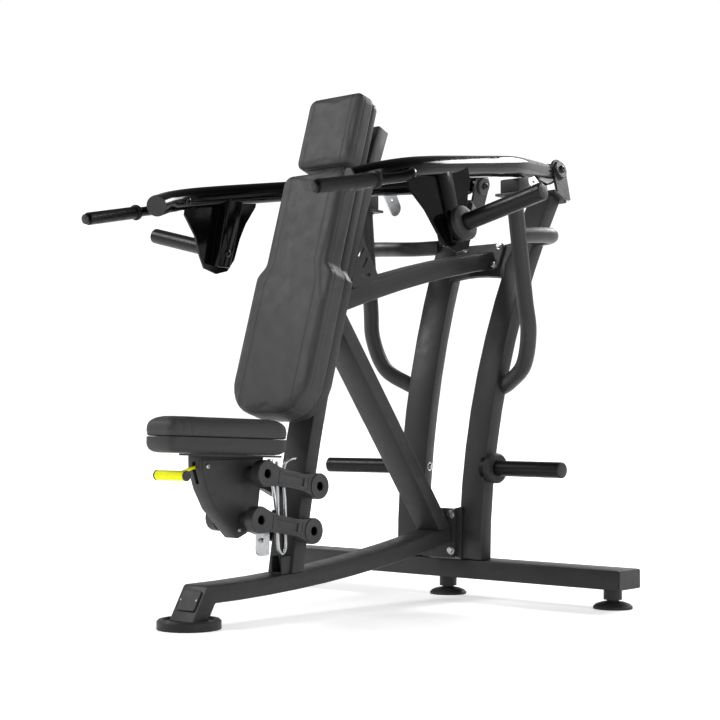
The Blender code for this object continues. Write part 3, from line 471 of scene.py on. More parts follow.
def hex_head(shape, place, across, height):
    """A chamfered hexagonal head standing on the placement's plane."""
    corner = across / sqrt(3)
    rings = []
    for radius, level in ((corner, 0), (corner, 0.78 * height), (0.88 * corner, height)):
        rings.append([shape.verts.new(place @ Vector((radius * cos(pi * i / 3),
                                                      radius * sin(pi * i / 3), level)))
                      for i in range(6)])
    for first, second in zip(rings, rings[1:]):
        bridge(shape, first, second)
    shape.faces.new(rings[0][::-1])
    shape.faces.new(rings[-1])


def hex_bolt(shape, point, direction, across=0.019, washer=0.0135, tip=0.0):
    """A washer and a hexagonal head; with a tip, the end of the thread stands out of it."""
    place = frame_along(point, direction)
    lathe(shape, [(0, -0.001), (washer, -0.001), (washer, 0.0018), (washer - 0.0012, 0.0024),
                  (0, 0.0024)], place, 32)
    hex_head(shape, place @ Matrix.Translation((0, 0, 0.0022)), across, 0.0085)
    if tip:
        radius, pitch, face = across * 0.30, 0.0016, 0.010
        profile = [(0, face)]
        for step in range(int(tip / pitch)):
            profile += [(radius, face + step * pitch),
                        (radius - 0.0007, 0.0108 + step * pitch)]
        profile += [(radius - 0.001, face + tip), (0, face + tip)]
        lathe(shape, profile, place, 20)


def button_bolt(shape, point, direction, radius=0.010, height=0.006, socket=0.0032):
    """A domed screw head with a hexagonal socket."""
    place = frame_along(point, direction)
    profile = [(0, -0.001), (radius, -0.001), (radius, 0.0008)]
    for step in range(1, 6):
        angle = pi / 2 * step / 6
        profile.append((socket * 1.25 + (radius - socket * 1.25) * cos(angle),
                        0.0008 + (height - 0.0008) * sin(angle)))
    profile += [(socket * 1.15, height), (socket, height - 0.0003), (socket * 0.9, height * 0.35),
                (0, height * 0.35)]
    lathe(shape, profile, place, 30)


def socket_screw(shape, point, direction, radius=0.0105, height=0.009):
    """A cylindrical cap screw with a hexagonal socket."""
    place = frame_along(point, direction)
    lathe(shape, [(0, -0.004), (radius, -0.004), (radius, height - 0.0012),
                  (radius - 0.0012, height), (radius * 0.58, height),
                  (radius * 0.52, height - 0.001), (radius * 0.50, height * 0.3),
                  (0, height * 0.3)], place, 36)


def slab(shape, outline, low, high, place, edge=0.0008):
    """A flat piece between two heights over an outline, its upper rim slightly eased."""
    middle = sum((Vector(p) for p in outline), Vector((0, 0))) / len(outline)
    loops = []
    for height, inset in ((low, 0), (high - edge, 0), (high, edge)):
        loop = []
        for p in outline:
            out = Vector(p) - middle
            spot = middle + out * (1 - inset / max(out.length, 1e-6))
            loop.append(shape.verts.new(place @ Vector((*spot, height))))
        loops.append(loop)
    for first, second in zip(loops, loops[1:]):
        bridge(shape, first, second)
    shape.faces.new(loops[0][::-1])
    shape.faces.new(loops[-1])


def rounded(corners, radius, steps=6):
    """A closed outline whose corners are arcs; radius is one value or one per corner."""
    count = len(corners)
    radii = radius if isinstance(radius, (list, tuple)) else [radius] * count
    outline = []
    for index, size in enumerate(radii):
        corner = Vector(corners[index])
        back = (Vector(corners[index - 1]) - corner).normalized()
        ahead = (Vector(corners[(index + 1) % count]) - corner).normalized()
        if size == 0:
            outline.append(tuple(corner))
            continue
        half = back.angle(ahead) / 2
        centre = corner + (back + ahead).normalized() * size / sin(half)
        start = corner + back * size / tan(half) - centre
        sweep_angle = start.angle_signed(corner + ahead * size / tan(half) - centre)
        for step in range(steps + 1):
            outline.append(tuple(centre + Matrix.Rotation(-sweep_angle * step / steps, 2) @ start))
    return outline


def rectangle(half_x, half_y):
    """The corners of a rectangle about the origin."""
    return [(-half_x, -half_y), (half_x, -half_y), (half_x, half_y), (-half_x, half_y)]


def sideways(side, centre):
    """A plane that faces outwards on one side: plane x runs rearwards, plane y is Z."""
    turn = Matrix(((0, 1, 0), (0, 0, 1), (side, 0, 0))).transposed().to_4x4()
    return Matrix.Translation(centre) @ turn


def leaning(centre, lean):
    """A plane facing forwards and up: plane x is X, plane y rises rearwards."""
    up = Vector((0, sin(lean), cos(lean)))
    facing = Vector((0, -cos(lean), sin(lean)))
    return Matrix.Translation(centre) @ Matrix(((1, 0, 0), up, facing)).transposed().to_4x4()


# -------------------- the CAD's own pieces

NODE_LOOKS = {"lever_grip": "yellow_plastic", "release_lever": "yellow_plastic"}
for suffix in SIDES:
    NODE_LOOKS["grip_" + suffix] = "grip_rubber"
    NODE_LOOKS["arm_horn_" + suffix] = "satin_black"
    NODE_LOOKS["storage_horn_" + suffix] = "satin_black"
    NODE_LOOKS["arm_gusset_" + suffix] = "gloss_paint"


def surface_finish():
    """A modifier tree that welds split points and shades smooth except at real corners."""
    tree = bpy.data.node_groups.new("surface_finish", "GeometryNodeTree")
    tree.interface.new_socket("Geometry", in_out="INPUT", socket_type="NodeSocketGeometry")
    tree.interface.new_socket("Geometry", in_out="OUTPUT", socket_type="NodeSocketGeometry")
    add, link = tree.nodes.new, tree.links.new
    start, end = add("NodeGroupInput"), add("NodeGroupOutput")
    merge = add("GeometryNodeMergeByDistance")
    merge.inputs["Distance"].default_value = 0.00002
    face = add("GeometryNodeSetShadeSmooth")
    face.domain = "FACE"
    edge = add("GeometryNodeSetShadeSmooth")
    edge.domain = "EDGE"
    edge.inputs["Shade Smooth"].default_value = False
    angle = add("GeometryNodeInputMeshEdgeAngle")
    compare = add("FunctionNodeCompare")
    compare.data_type = "FLOAT"
    compare.operation = "GREATER_THAN"
    compare.inputs["B"].default_value = radians(32)
    link(start.outputs[0], merge.inputs["Geometry"])
    link(merge.outputs["Geometry"], face.inputs["Geometry"])
    link(face.outputs["Geometry"], edge.inputs["Geometry"])
    link(angle.outputs["Unsigned Angle"], compare.inputs["A"])
    link(compare.outputs["Result"], edge.inputs["Selection"])
    link(edge.outputs["Geometry"], end.inputs[0])
    return tree


def dress_frame():
    """Give each CAD node its look, from its slot unless it is named in NODE_LOOKS."""
    finish = surface_finish()
    for row in frame["record"]["subparts"]:
        obj = frame["nodes"][row["node"]]
        look = NODE_LOOKS.get(row["node"], row["material_slot"])
        obj.data.materials.clear()
        obj.data.materials.append(LOOKS[look])
        custom = obj.data.attributes.get("custom_normal")
        if custom:
            obj.data.attributes.remove(custom)
        step = obj.modifiers.new("surface_finish", "NODES")
        step.node_group = finish


dress_frame()


# -------------------- press arms

SHAFT = (0.163, 0.412, 1.414)    # the left arm's pivot, on the machine
PIVOT_TILT = radians(13.6)
ARM_DROP = 0.187                 # how far the tube sinks per metre forwards
ARM_RADIUS = 0.033
# the tube's middle, forwards and outwards
ARM_LINE = [(0.0, 0.0), (0.130, 0.047), (0.254, 0.090), (0.428, 0.147), (0.548, 0.170),
            (0.678, 0.188), (0.838, 0.211), (0.988, 0.230), (1.108, 0.235), (1.208, 0.217),
            (1.290, 0.179)]
# forwards and up in the arm's frame: the horn, the handle's bolt and the stop plate
HORN = (0.947, -0.363)
SWIVEL = (1.150, -0.236)
SWIVEL_OUT = 0.25
STOP_PLATE = (0.295, -0.100)
STOP_TURN = radians(-44)
# the ends of the grip at rest: forwards, outwards and up
GRIP_REAR = Vector((1.291, 0.266, -0.267))
GRIP_FRONT = Vector((1.505, 0.232, -0.292))
HANDLE_TILT = {1: radians(-2), -1: radians(-3)}


def arm_place(side):
    """The arm's frame: x forwards, y up and square to the pivot axis, z along that axis."""
    up = Vector((-side * sin(PIVOT_TILT), 0, cos(PIVOT_TILT)))
    forward = Vector((0, -1, 0))
    turn = Matrix((forward, up, forward.cross(up))).transposed().to_4x4()
    x, y, z = SHAFT
    return Matrix.Translation(at(side * x, y, z)) @ turn


def arm_point(side, forward, outward, up):
    """A point given forwards, outwards and up in the arm's frame."""
    return arm_place(side) @ Vector((forward, up, -side * outward))


def outwards(side):
    """The pivot axis's direction away from the machine's middle."""
    return arm_point(side, 0, 1, 0) - arm_point(side, 0, 0, 0)


def carve(obj, *tools):
    """Cut the tools from a piece, keep the result as its mesh and delete the tools."""
    for tool in tools:
        change = obj.modifiers.new("carve", "BOOLEAN")
        change.operation = "DIFFERENCE"
        change.object = tool
    applied(obj)
    for tool in tools:
        bpy.data.objects.remove(tool, do_unlink=True)
    smooth(obj)


def tool(name, start, end, radius):
    """A plain cylinder to cut with."""
    shape = bmesh.new()
    lathe(shape, [(0, 0), (radius, 0), (radius, (end - start).length), (0, (end - start).length)],
          frame_along(start, end - start), 48)
    return new_object(name, shape)


def arms():
    """The bent arm tubes with their hubs, welds and bolts."""
    for name, side in SIDES.items():
        body = name + "_arm"
        line = flowing([arm_point(side, s, d, -ARM_DROP * s) for s, d in ARM_LINE], 8)
        shape = bmesh.new()
        sweep(shape, line, ARM_RADIUS, 40)
        tube = piece("arm_tube_" + name, shape, "gloss_paint", body)
        carve(tube, tool("ear_room", arm_point(side, 0, 0.0372, 0), arm_point(side, 0, 0.12, 0),
                         0.0415))
        shape = bmesh.new()
        place = frame_along(arm_point(side, 0, -0.0375, 0), outwards(side))
        lathe(shape, [(0, 0), (0.0305, 0), (0.032, 0.0015), (0.032, 0.0735), (0.0305, 0.075),
                      (0, 0.075)], place, 48)
        piece("arm_hub_" + name, shape, "gloss_paint", body)
        shape = bmesh.new()
        weld_ring(shape, line[1], line[3] - line[1], ARM_RADIUS, 0.0035)
        piece("arm_weld_" + name, shape, "gloss_paint", body)
        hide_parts("arm_" + name)
        arm_bolts(name, side, body)


def weld_ring(shape, centre, direction, radius, bead):
    """A rippled weld bead round a tube."""
    place = frame_along(centre, direction)
    line, radii = [], []
    for step in range(72):
        angle = 2 * pi * step / 72
        line.append(place @ Vector((radius * cos(angle), radius * sin(angle), 0)))
        radii.append(bead * (1 + 0.16 * cos(24 * angle)))
    sweep(shape, line, radii, 8, closed=True)


def end_plug(shape, place, end):
    """A domed plug in the end of a 50 mm bar."""
    lathe(shape, [(0, end), (0.014, end - 0.0003), (0.0205, end - 0.0016), (0.0226, end - 0.0038),
                  (0.0226, end - 0.0108), (0, end - 0.0108)], place, 48)


def arm_bolts(name, side, body):
    """The bolts of an arm's handle, horn and stop plate, its shaft's screws and its horn's plug."""
    out = outwards(side)
    shape = bmesh.new()
    button_bolt(shape, arm_point(side, SWIVEL[0], 0.1995, SWIVEL[1] + 0.021), -out, 0.012, 0.008,
                0.004)
    button_bolt(shape, arm_point(side, HORN[0], 0.1955, HORN[1]), -out, 0.012, 0.007, 0.004)
    piece("arm_bolts_" + name, shape, "dark_fastener", body)
    shape = bmesh.new()
    turn = (arm_place(side) @ Matrix.Translation((*STOP_PLATE, -side * 0.113))
            @ Matrix.Rotation(STOP_TURN, 4, "Z"))
    point = turn @ Vector((0, -0.050, -side * 0.004))
    hex_bolt(shape, point, turn @ Vector((0, -0.050, -side)) - point, 0.013, 0.010)
    piece("stop_bolt_" + name, shape, "dark_fastener", body)
    shape = bmesh.new()
    end_plug(shape, frame_along(arm_point(side, HORN[0], 0, HORN[1]), out), 0.5548)
    piece("horn_plug_" + name, shape, "moulded_plastic", body)
    shape = bmesh.new()
    shaft_end = 0.0591
    for way in (-1, 1):
        point = arm_point(side, 0, way * shaft_end, 0)
        button_bolt(shape, point, out * way, 0.0125, 0.0055, 0.005)
    piece("pivot_screws_" + name, shape, "dark_fastener", "frame")


def handle_turn(side):
    """The rest tilt of a handle about its bolt."""
    pivot = arm_place(side) @ Matrix.Translation((*SWIVEL, -side * SWIVEL_OUT))
    return pivot @ Matrix.Rotation(HANDLE_TILT[side], 4, "Z") @ pivot.inverted()


def handles():
    """The handles' rods, each from a collar on its bolt to a plug beyond the grip."""
    ahead, up = SWIVEL
    run = (GRIP_FRONT - GRIP_REAR).normalized()
    front = GRIP_FRONT + run * 0.010
    # forwards, outwards and up in the arm's frame
    points = [(ahead, 0.2565, up), (ahead, 0.266, up - 0.0004),
              (ahead + 0.0015, 0.2760, up - 0.002), (ahead + 0.009, 0.2845, up - 0.007),
              (ahead + 0.022, 0.2880, up - 0.014),
              GRIP_REAR - run * 0.085, GRIP_REAR - run * 0.02, front]
    for name, side in SIDES.items():
        body = name + "_handle"
        turn = handle_turn(side)
        line = [turn @ arm_point(side, *p) for p in flowing(points, 8)]
        shape = bmesh.new()
        sweep(shape, line, 0.015, 32)
        rod = piece("handle_rod_" + name, shape, "gloss_paint", body)
        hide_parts("handle_" + name)
        tip = turn @ arm_point(side, *front)
        along = tip - turn @ arm_point(side, *GRIP_REAR)
        shape = bmesh.new()
        lathe(shape, [(0, 0.0045), (0.007, 0.0040), (0.0125, 0.0022), (0.0145, -0.001),
                      (0.0145, -0.004), (0, -0.004)], frame_along(tip, along), 40)
        piece("handle_plug_" + name, shape, "moulded_plastic", body)
        base = turn @ arm_point(side, ahead, 0.2525, up)
        out = turn.to_3x3() @ outwards(side)
        shape = bmesh.new()
        lathe(shape, [(0, 0.0), (0.0200, 0.0), (0.0215, 0.0015), (0.0215, 0.0075),
                      (0.0195, 0.0095), (0, 0.0095)], frame_along(base, out), 40)
        piece("handle_collar_" + name, shape, "gloss_paint", body)


arms()
handles()


# -------------------- guards and posts

POST_TOE = radians(7.5)
STORAGE_AXIS = (0.045762, 0.416)    # in the post's bending plane


def post_place(side):
    """The bending plane of a post: plane x runs rearwards and outwards, plane y is Z."""
    rearward = Vector((side * sin(POST_TOE), cos(POST_TOE), 0))
    across = Vector((cos(POST_TOE), -side * sin(POST_TOE), 0))
    turn = Matrix((rearward, (0, 0, 1), across)).transposed().to_4x4()
    return Matrix.Translation(at(side * 0.1244, 0.0065, 0)) @ turn


def guards():
    """The guard frames: a bent upright, its tie to the post, the shelf on top and its weld."""
    upright = [(0.160, 0.124, 0.673), (0.215, 0.108, 0.696), (0.290, 0.078, 0.748),
               (0.325, 0.055, 0.850), (0.322, 0.040, 0.958), (0.316, 0.014, 1.156),
               (0.312, -0.002, 1.281)]
    tie = [(0.316, 0.014, 1.156), (0.325, 0.110, 1.166), (0.318, 0.190, 1.172),
           (0.275, 0.240, 1.174), (0.205, 0.270, 1.176)]
    for name, side in SIDES.items():
        line = flowing([at(side * x, y, z) for x, y, z in upright], 10)
        shape = bmesh.new()
        sweep(shape, line, 0.026, 36)
        tube = piece("guard_tube_" + name, shape, "frame_paint", "frame")
        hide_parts("guard_frame_" + name)
        line = flowing([at(side * x, y, z) for x, y, z in tie], 8)
        shape = bmesh.new()
        sweep(shape, line, 0.0255, 36)
        piece("guard_tie_" + name, shape, "frame_paint", "frame")
        shape = bmesh.new()
        slab(shape, rounded(rectangle(0.045, 0.036), 0.006), 0.0, 0.008,
             Matrix.Translation(at(side * 0.304, 0.0, 1.2805)))
        piece("guard_shelf_" + name, shape, "frame_paint", "frame")
        shape = bmesh.new()
        weld_ring(shape, at(side * 0.312, -0.002, 1.2790), (0, 0, 1), 0.0265, 0.003)
        piece("guard_weld_" + name, shape, "frame_paint", "frame")


def post_fittings():
    """The storage horns' bolts and end plugs."""
    middle = Vector((*STORAGE_AXIS, 0))
    for name, side in SIDES.items():
        plane = post_place(side)
        out = plane @ (middle + Vector((0, 0, side))) - plane @ middle
        shape = bmesh.new()
        hex_bolt(shape, plane @ (middle + Vector((0, 0, -side * 0.0500))), -out, 0.019, 0.0150)
        piece("storage_bolt_" + name, shape, "zinc", "frame")
        shape = bmesh.new()
        end_plug(shape, frame_along(plane @ middle, out), 0.3578)
        piece("storage_plug_" + name, shape, "moulded_plastic", "frame")


def joint_bolts():
    """The bolts through the two flanged joints, their nuts on the far faces."""
    place = leaning(at(0, 0.2475, 1.122), radians(25))
    facing = place.to_3x3() @ Vector((0, 0, 1))
    shape = bmesh.new()
    for x in (-0.070, 0.070):
        for y in (-0.037, 0.037):
            hex_bolt(shape, place @ Vector((x, y, 0.0103)), facing, 0.017, 0.0125)
            hex_bolt(shape, place @ Vector((x, y, -0.0123)), -facing, 0.017, 0.0125, 0.008)
    piece("upper_joint_bolts", shape, "zinc", "frame")
    shape = bmesh.new()
    for x in (-0.058, 0.058):
        for z in (0.149, 0.264):
            hex_bolt(shape, at(x, -0.0045, z), Vector((0, -1, 0)), 0.019, 0.0140)
            hex_bolt(shape, at(x, 0.0200, z), Vector((0, 1, 0)), 0.019, 0.0140, 0.008)
    piece("lower_joint_bolts", shape, "zinc", "frame")


def end_caps():
    """Thin plastic caps on the ends of the crossbeam."""
    centre = at(0, 0.060, 0.090)
    outline = rounded(rectangle(0.059, 0.029), 0.006)
    for name, side in SIDES.items():
        place = sideways(side, centre + Vector((side * 0.685, 0, 0)))
        shape = bmesh.new()
        slab(shape, outline, 0.0, 0.003, place)
        piece("crossbeam_cap_" + name, shape, "moulded_plastic", "frame")


def feet_fittings():
    """The nuts that hold the feet."""
    shape = bmesh.new()
    for x in (-0.630, 0.0, 0.630):
        place = Matrix.Translation(at(x, 0.055, 0.0212))
        hex_head(shape, place, 0.036, 0.0085)
    piece("foot_nuts", shape, "dark_fastener", "frame")


def badge():
    """The front plate stays blank: a raised rim and two small screws."""
    low, high = Vector((-1.1300, 0.0260)), Vector((-1.0780, 0.1180))
    rise = (high - low).normalized()
    facing = Vector((-rise.y, rise.x))
    centre = low + rise * 0.058 + facing * 0.0034
    turn = Matrix(((1, 0, 0), (0, rise.x, rise.y), (0, facing.x, facing.y))).transposed().to_4x4()
    place = Matrix.Translation(at(0, *centre)) @ turn
    normal = place.to_3x3() @ Vector((0, 0, 1))
    shape = bmesh.new()
    for x in (-0.030, 0.030):
        button_bolt(shape, place @ Vector((x, 0, 0)), normal, 0.0026, 0.0012, 0.0009)
    piece("badge_screws", shape, "zinc", "frame")
    shape = bmesh.new()
    outline = rounded(rectangle(0.036, 0.0295), 0.007, 8)
    line = [place @ Vector((*p, 0.0002)) for p in outline]
    sweep(shape, line, 0.0007, 8, closed=True)
    piece("badge_rim", shape, "moulded_plastic", "frame")


guards()
post_fittings()
joint_bolts()
end_caps()
feet_fittings()
badge()


# -------------------- seat linkage

# the links' rear pins, in Y and Z
LINK_PINS = {"upper": Vector((-0.674, 0.378)), "lower": Vector((-0.699, 0.249))}
LINK_FACE = 0.092                # the links' outer faces, from the middle
LINK_LENGTH = 0.222
LINK_RISE = radians(11)
LINK_RUN = Vector((-LINK_LENGTH * cos(LINK_RISE), LINK_LENGTH * sin(LINK_RISE)))
LEVER_TIP = (-1.168, 0.420)


def link_screws():
    """The cap screws at both ends of the links."""
    for row, pivot in LINK_PINS.items():
        shape = bmesh.new()
        for side in SIDES.values():
            for end in (pivot, pivot + LINK_RUN):
                socket_screw(shape, at(side * 0.0800, *end), Vector((side, 0, 0)))
        piece(row + "_link_screws", shape, "dark_fastener", row + "_links")


def link_hubs():
    """The links' turned faces, and the raised rim round the panel between them."""
    inner, outer = 0.0135, 0.0372
    run = LINK_RUN.normalized()
    across = Vector((-run.y, run.x))
    for row, pivot in LINK_PINS.items():
        shape = bmesh.new()
        for side in SIDES.values():
            for end in (pivot, pivot + LINK_RUN):
                place = frame_along(at(side * LINK_FACE, *end), Vector((side, 0, 0)))
                lathe(shape, [(inner, -0.001), (outer, -0.001), (outer, 0.0020),
                              (outer - 0.0010, 0.0030), (inner + 0.0010, 0.0030),
                              (inner, 0.0020), (inner, -0.001)], place, 48)
            waist = [(0.050, 0.0195), (0.080, 0.0172), (0.111, 0.0166), (0.142, 0.0172),
                     (0.172, 0.0195)]
            rim = [pivot + run * reach + across * half for reach, half in waist]
            rim += [pivot + run * reach - across * half for reach, half in reversed(waist)]
            sweep(shape, [at(side * LINK_FACE, *point) for point in rim], 0.0013, 8, True)
        piece(row + "_link_hubs", shape, "cast_paint", row + "_links")


def lever_caps():
    """Round caps on the ends of the release lever's grip."""
    shape = bmesh.new()
    for side in SIDES.values():
        place = frame_along(at(side * 0.0573, *LEVER_TIP), Vector((side, 0, 0)))
        lathe(shape, [(0, 0), (0.0142, 0), (0.0142, 0.0030), (0.0125, 0.0045), (0, 0.0045)], place)
    piece("lever_caps", shape, "moulded_plastic", "release_lever")


def carriage_covers():
    """Thin covers on the seat carriage's sides, their screws and the lock plate's bolt."""
    profile = [(-1.0790, 0.4600), (-1.0790, 0.4360), (-1.0610, 0.3820), (-1.0280, 0.3270),
               (-0.9420, 0.2440), (-0.9100, 0.2560), (-0.8700, 0.3030), (-0.8480, 0.4600)]
    outline = rounded(profile, [0.002, 0.02, 0.06, 0.06, 0.012, 0.014, 0.02, 0.002], 5)
    for name, side in SIDES.items():
        shape = bmesh.new()
        slab(shape, outline, 0.0, 0.0022, sideways(side, at(side * 0.0249, 0, 0)))
        piece("carriage_cover_" + name, shape, "moulded_plastic", "seat")
    shape = bmesh.new()
    for side in SIDES.values():
        for y, z, *head in ((-1.060, 0.443, 0.0070, 0.0042, 0.0028),
                            (-0.938, 0.262, 0.0060, 0.0040, 0.0024)):
            button_bolt(shape, at(side * 0.0270, y, z), Vector((side, 0, 0)), *head)
    hex_bolt(shape, at(0.0313, -0.852, 0.228), Vector((1, 0, 0)), 0.0100, 0.0075)
    piece("carriage_bolts", shape, "zinc", "seat")


def latch_rod():
    """The bright bent rod that loops down beside the strut and turns rearwards at the top."""
    x = 0.041
    loop = [(x, -0.801, 0.452), (x, -0.798, 0.400), (x, -0.796, 0.300), (x, -0.794, 0.215),
            (x, -0.788, 0.194), (x, -0.778, 0.186), (x, -0.768, 0.193), (x, -0.763, 0.214),
            (x, -0.765, 0.300), (x, -0.771, 0.400), (x, -0.772, 0.428), (x, -0.765, 0.446),
            (x, -0.748, 0.455), (x - 0.002, -0.722, 0.458)]
    shape = bmesh.new()
    sweep(shape, flowing([at(*p) for p in loop], 6), 0.0047, 20)
    piece("latch_rod", shape, "zinc", "frame")


link_screws()
link_hubs()
lever_caps()
carriage_covers()
latch_rod()


# -------------------- cushions

PAD_LEAN = radians(16.7)
SEAT_TILT = radians(-2)
SIDE_PULL = 0.0008
VOXEL = 0.0055
SEAM_WIDTH = 0.0026
STITCH_PITCH = 0.0048
STITCH_HALF = 0.0016
THREAD_RADII = [0.00028, 0.00042, 0.00028]


def back_outline(inset):
    """The back cushion's face, wider below its waist; every side moves in by inset."""
    low, high, length = 0.155 - inset, 0.125 - inset, 0.762 - inset
    right = [(high, length), (high, 0.465), (low, 0.432), (low, inset)]
    left = [(-x, y) for x, y in right[::-1]]
    return rounded(left + right, [0.105, 0.03, 0.03, 0.028, 0.028, 0.03, 0.03, 0.105], 8)


def head_outline(inset):
    """The head cushion's face, a rounded rectangle."""
    half, length = 0.110 - inset, 0.238 - inset
    return rounded([(-half, inset), (half, inset), (half, length), (-half, length)], 0.026, 8)


def seat_outline(inset):
    """The seat cushion's face, which narrows towards the front."""
    corners = [(-0.055 + inset, -0.1875 + inset), (0.055 - inset, -0.1875 + inset),
               (0.149 - inset, 0.1875 - inset), (-0.149 + inset, 0.1875 - inset)]
    return rounded(corners, [0.022, 0.022, 0.030, 0.030], 8)


def stacked(name, outline, profile):
    """A closed mesh of the outline at each (inset, height), from the front to the back."""
    shape = bmesh.new()
    loops = [[shape.verts.new((*p, height)) for p in outline(inset)] for inset, height in profile]
    for first, second in zip(loops, loops[1:]):
        bridge(shape, first, second)
    shape.faces.new(loops[0])
    shape.faces.new(loops[-1][::-1])
    return new_object(name, shape)


def inflate(obj, floor, most, pressure=4.0):
    """Blow a cushion up as cloth; its back below floor stays put, no point rises over most and
    its sides hardly pull in, as upholstery over a foam block."""
    held = obj.vertex_groups.new(name="held")
    held.add([v.index for v in obj.data.vertices if v.co.z < floor], 1.0, "REPLACE")
    before = [v.co.copy() for v in obj.data.vertices]
    cloth = obj.modifiers.new("cloth", "CLOTH")
    settings = cloth.settings
    settings.quality = 4
    settings.mass = 0.3
    for kind, value in (("tension", 30), ("compression", 30), ("shear", 15), ("bending", 3.0)):
        setattr(settings, kind + "_stiffness", value)
    settings.use_pressure = True
    settings.uniform_pressure_force = pressure
    settings.effector_weights.gravity = 0
    settings.vertex_group_mass = "held"
    cloth.point_cache.frame_start = 1
    cloth.point_cache.frame_end = 20
    for number in range(1, 21):
        SCENE.frame_set(number)
    graph = bpy.context.evaluated_depsgraph_get()
    after = [v.co.copy() for v in obj.evaluated_get(graph).data.vertices]
    obj.modifiers.clear()
    SCENE.frame_set(1)
    for vertex, start, end in zip(obj.data.vertices, before, after):
        move = end - start
        if move.xy.length > SIDE_PULL:
            move.xy *= SIDE_PULL / move.xy.length
        move.z = max(-SIDE_PULL, min(most, move.z))
        vertex.co = start + move


def near_line(point, line):
    """The distance from a 2D point to a polyline."""
    best = 1e9
    for a, b in zip(line, line[1:]):
        run = b - a
        t = max(0.0, min(1.0, (point - a).dot(run) / run.length_squared))
        best = min(best, (a + run * t - point).length)
    return best


def sew(obj, seams, band, band_width=0.0022, depth=0.0016):
    """Press seam grooves into the face, and one round the sides at the height of band."""
    normals = [n.vector.copy() for n in obj.data.vertex_normals]
    for vertex, normal in zip(obj.data.vertices, normals):
        press = 0.0
        if normal.z > -0.3:
            spot = vertex.co.xy
            for line in seams:
                press = max(press, exp(-(near_line(spot, line) / SEAM_WIDTH) ** 2))
        if abs(normal.z) < 0.75:
            press = max(press, exp(-((vertex.co.z - band) / band_width) ** 2))
        if press > 0.02:
            vertex.co -= normal * depth * press


def stitches(name, obj, seams, offset, body):
    """Short twisted threads beside each seam, lying on the cushion."""
    graph = bpy.context.evaluated_depsgraph_get()
    tree = BVHTree.FromObject(obj, graph)
    shape = bmesh.new()
    turn = obj.matrix_world.copy()
    for line in seams:
        path = [Vector(p) for p in line]
        lengths = [(b - a).length for a, b in zip(path, path[1:])]
        travelled, index, start = 0.004, 0, 0.0
        while index < len(lengths):
            if travelled > start + lengths[index]:
                start += lengths[index]
                index += 1
                continue
            run = (path[index + 1] - path[index]).normalized()
            across = Vector((-run.y, run.x)) * offset
            spot = path[index] + run * (travelled - start) + across
            ends = []
            for reach in (-STITCH_HALF, 0.0, STITCH_HALF):
                p = spot + run * reach
                hit = tree.ray_cast(Vector((p.x, p.y, 0.5)), Vector((0, 0, -1)))
                if hit[0]:
                    rise = 0.00025 if reach == 0 else -0.0001
                    ends.append(turn @ (hit[0] + Vector((0, 0, rise))))
            if len(ends) == 3:
                sweep(shape, ends, THREAD_RADII, 6)
            travelled += STITCH_PITCH
    piece(name, shape, "thread", body)


def cushion(name, node, body, place, outline, thick, round_over, most, seams, band):
    """One upholstered cushion in place of its CAD node; its face is at height 0."""
    top = [(round_over * (1 - sin(turn)), round_over * (cos(turn) - 1) - 0.0025)
           for turn in (radians(15 * step) for step in range(7))]
    profile = top + [(0.0, -thick + 0.004), (0.001, -thick + 0.001), (0.003, -thick)]
    obj = stacked(name, outline, profile)
    remesh = obj.modifiers.new("remesh", "REMESH")
    remesh.mode = "VOXEL"
    remesh.voxel_size = VOXEL
    applied(obj)
    inflate(obj, -thick + 0.004, most)
    relax = obj.modifiers.new("relax", "SMOOTH")
    relax.factor = 0.5
    relax.iterations = 3
    fine = obj.modifiers.new("fine", "SUBSURF")
    fine.levels = 1
    fine.render_levels = 1
    applied(obj)
    sew(obj, seams, band)
    obj.data.materials.clear()
    obj.data.materials.append(LOOKS["leatherette"])
    obj.data.shade_smooth()
    obj.matrix_world = place
    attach(obj, body)
    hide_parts(node)
    stitches(name + "_stitches", obj, seams, 0.0034, body)


def cushions():
    """The back, head and seat cushions, each with two seams."""
    back = [[Vector((x * side, y)) for x, y in ((0.083, 0.770), (0.083, 0.47), (0.105, 0.40),
                                                (0.105, -0.01))] for side in (1, -1)]
    cushion("back_cushion", "back_pad", "frame", leaning(at(0, -0.8200, 0.5900), PAD_LEAN),
            back_outline, 0.072, 0.012, 0.003, back, -0.020)
    head = [[Vector((x * side, y)) for x, y in ((0.076, 0.250), (0.076, -0.01))]
            for side in (1, -1)]
    cushion("head_cushion", "head_pad", "frame", leaning(at(0, -0.5720, 1.3400), PAD_LEAN),
            head_outline, 0.062, 0.012, 0.003, head, -0.020)
    place = Matrix.Translation(at(0, -1.0325, 0.5490)) @ Matrix.Rotation(SEAT_TILT, 4, "X")
    place = place @ Matrix.Translation((0, 0, 0.0275))
    seat = [[Vector((-0.2, y)), Vector((0.2, y))] for y in (-0.128, -0.152)]
    cushion("seat_top", "seat_cushion", "seat", place, seat_outline, 0.055, 0.028, 0.003, seat,
            -0.046)


cushions()


# -------------------- studio

FLOOR_HALF = 300


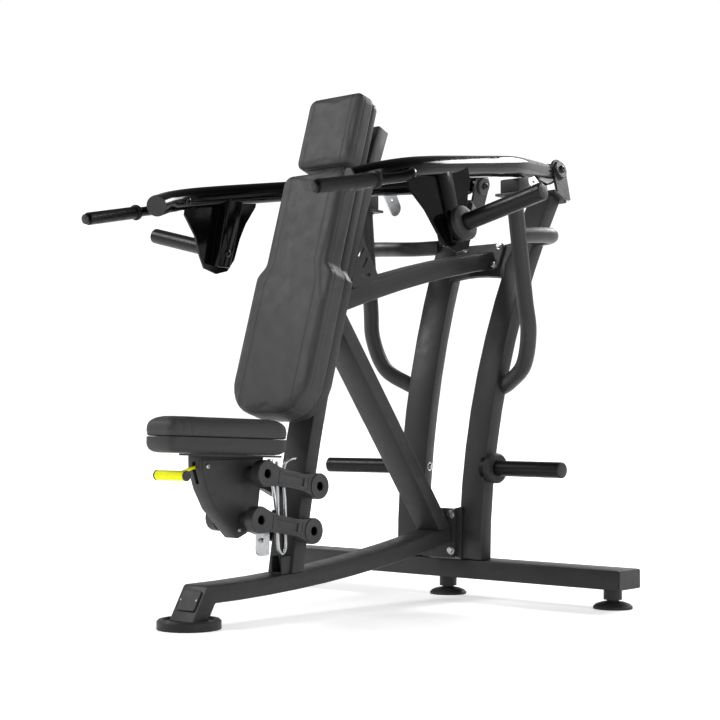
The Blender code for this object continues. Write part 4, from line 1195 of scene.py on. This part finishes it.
def area_light(name, location, target, size, power, size_y=None):
    """A rectangular light that faces the target."""
    data = bpy.data.lights.new(name, "AREA")
    data.shape = "RECTANGLE"
    data.size = size
    data.size_y = size_y or size
    data.energy = power
    light = bpy.data.objects.new(name, data)
    light.location = location
    light.rotation_euler = (Vector(target) - Vector(location)).to_track_quat("-Z", "Y").to_euler()
    SCENE.collection.objects.link(light)


def studio():
    """A white floor and sky, and three soft lights."""
    shape = bmesh.new()
    bmesh.ops.create_grid(shape, x_segments=1, y_segments=1, size=FLOOR_HALF)
    mesh = bpy.data.meshes.new("studio_floor")
    shape.to_mesh(mesh)
    shape.free()
    floor = bpy.data.objects.new("studio_floor", mesh)
    mesh.materials.append(LOOKS["floor_paint"])
    SCENE.collection.objects.link(floor)
    world = bpy.data.worlds.new("studio")
    SCENE.world = world
    world.use_nodes = True
    sky = world.node_tree.nodes["Background"]
    sky.inputs["Color"].default_value = (1, 1, 1, 1)
    tree = world.node_tree
    add, link = tree.nodes.new, tree.links.new
    direction, split = add("ShaderNodeTexCoord").outputs["Generated"], add("ShaderNodeSeparateXYZ")
    link(direction, split.inputs[0])
    ramp = map_range(tree, split.outputs["Z"], 1.0, 0.15, 0.16, 0.62)
    # the studio is brighter behind the machine than in front of it
    facing = add("ShaderNodeVectorMath")
    facing.operation = "DOT_PRODUCT"
    facing.inputs[1].default_value = (*LOOKING[:2], 0)
    link(direction, facing.inputs[0])
    front = map_range(tree, facing.outputs["Value"], 0.55, 1.12, -0.5, 0.5)
    ramp.interpolation_type = front.interpolation_type = "SMOOTHSTEP"
    both = add("ShaderNodeMath")
    both.operation = "MULTIPLY"
    link(ramp.outputs["Result"], both.inputs[0])
    link(front.outputs["Result"], both.inputs[1])
    link(both.outputs[0], sky.inputs["Strength"])
    area_light("key", (-3.2, -3.0, 4.2), (0, 0, 0.8), 1.8, 170)
    area_light("side", (4.2, -0.2, 2.8), (0, 0, 0.9), 0.9, 60, size_y=2.6)
    area_light("rear", (0.5, 4.0, 3.4), (0, 0, 1.0), 2.6, 150, size_y=1.0)
    SCENE.view_settings.view_transform = "Standard"


studio()
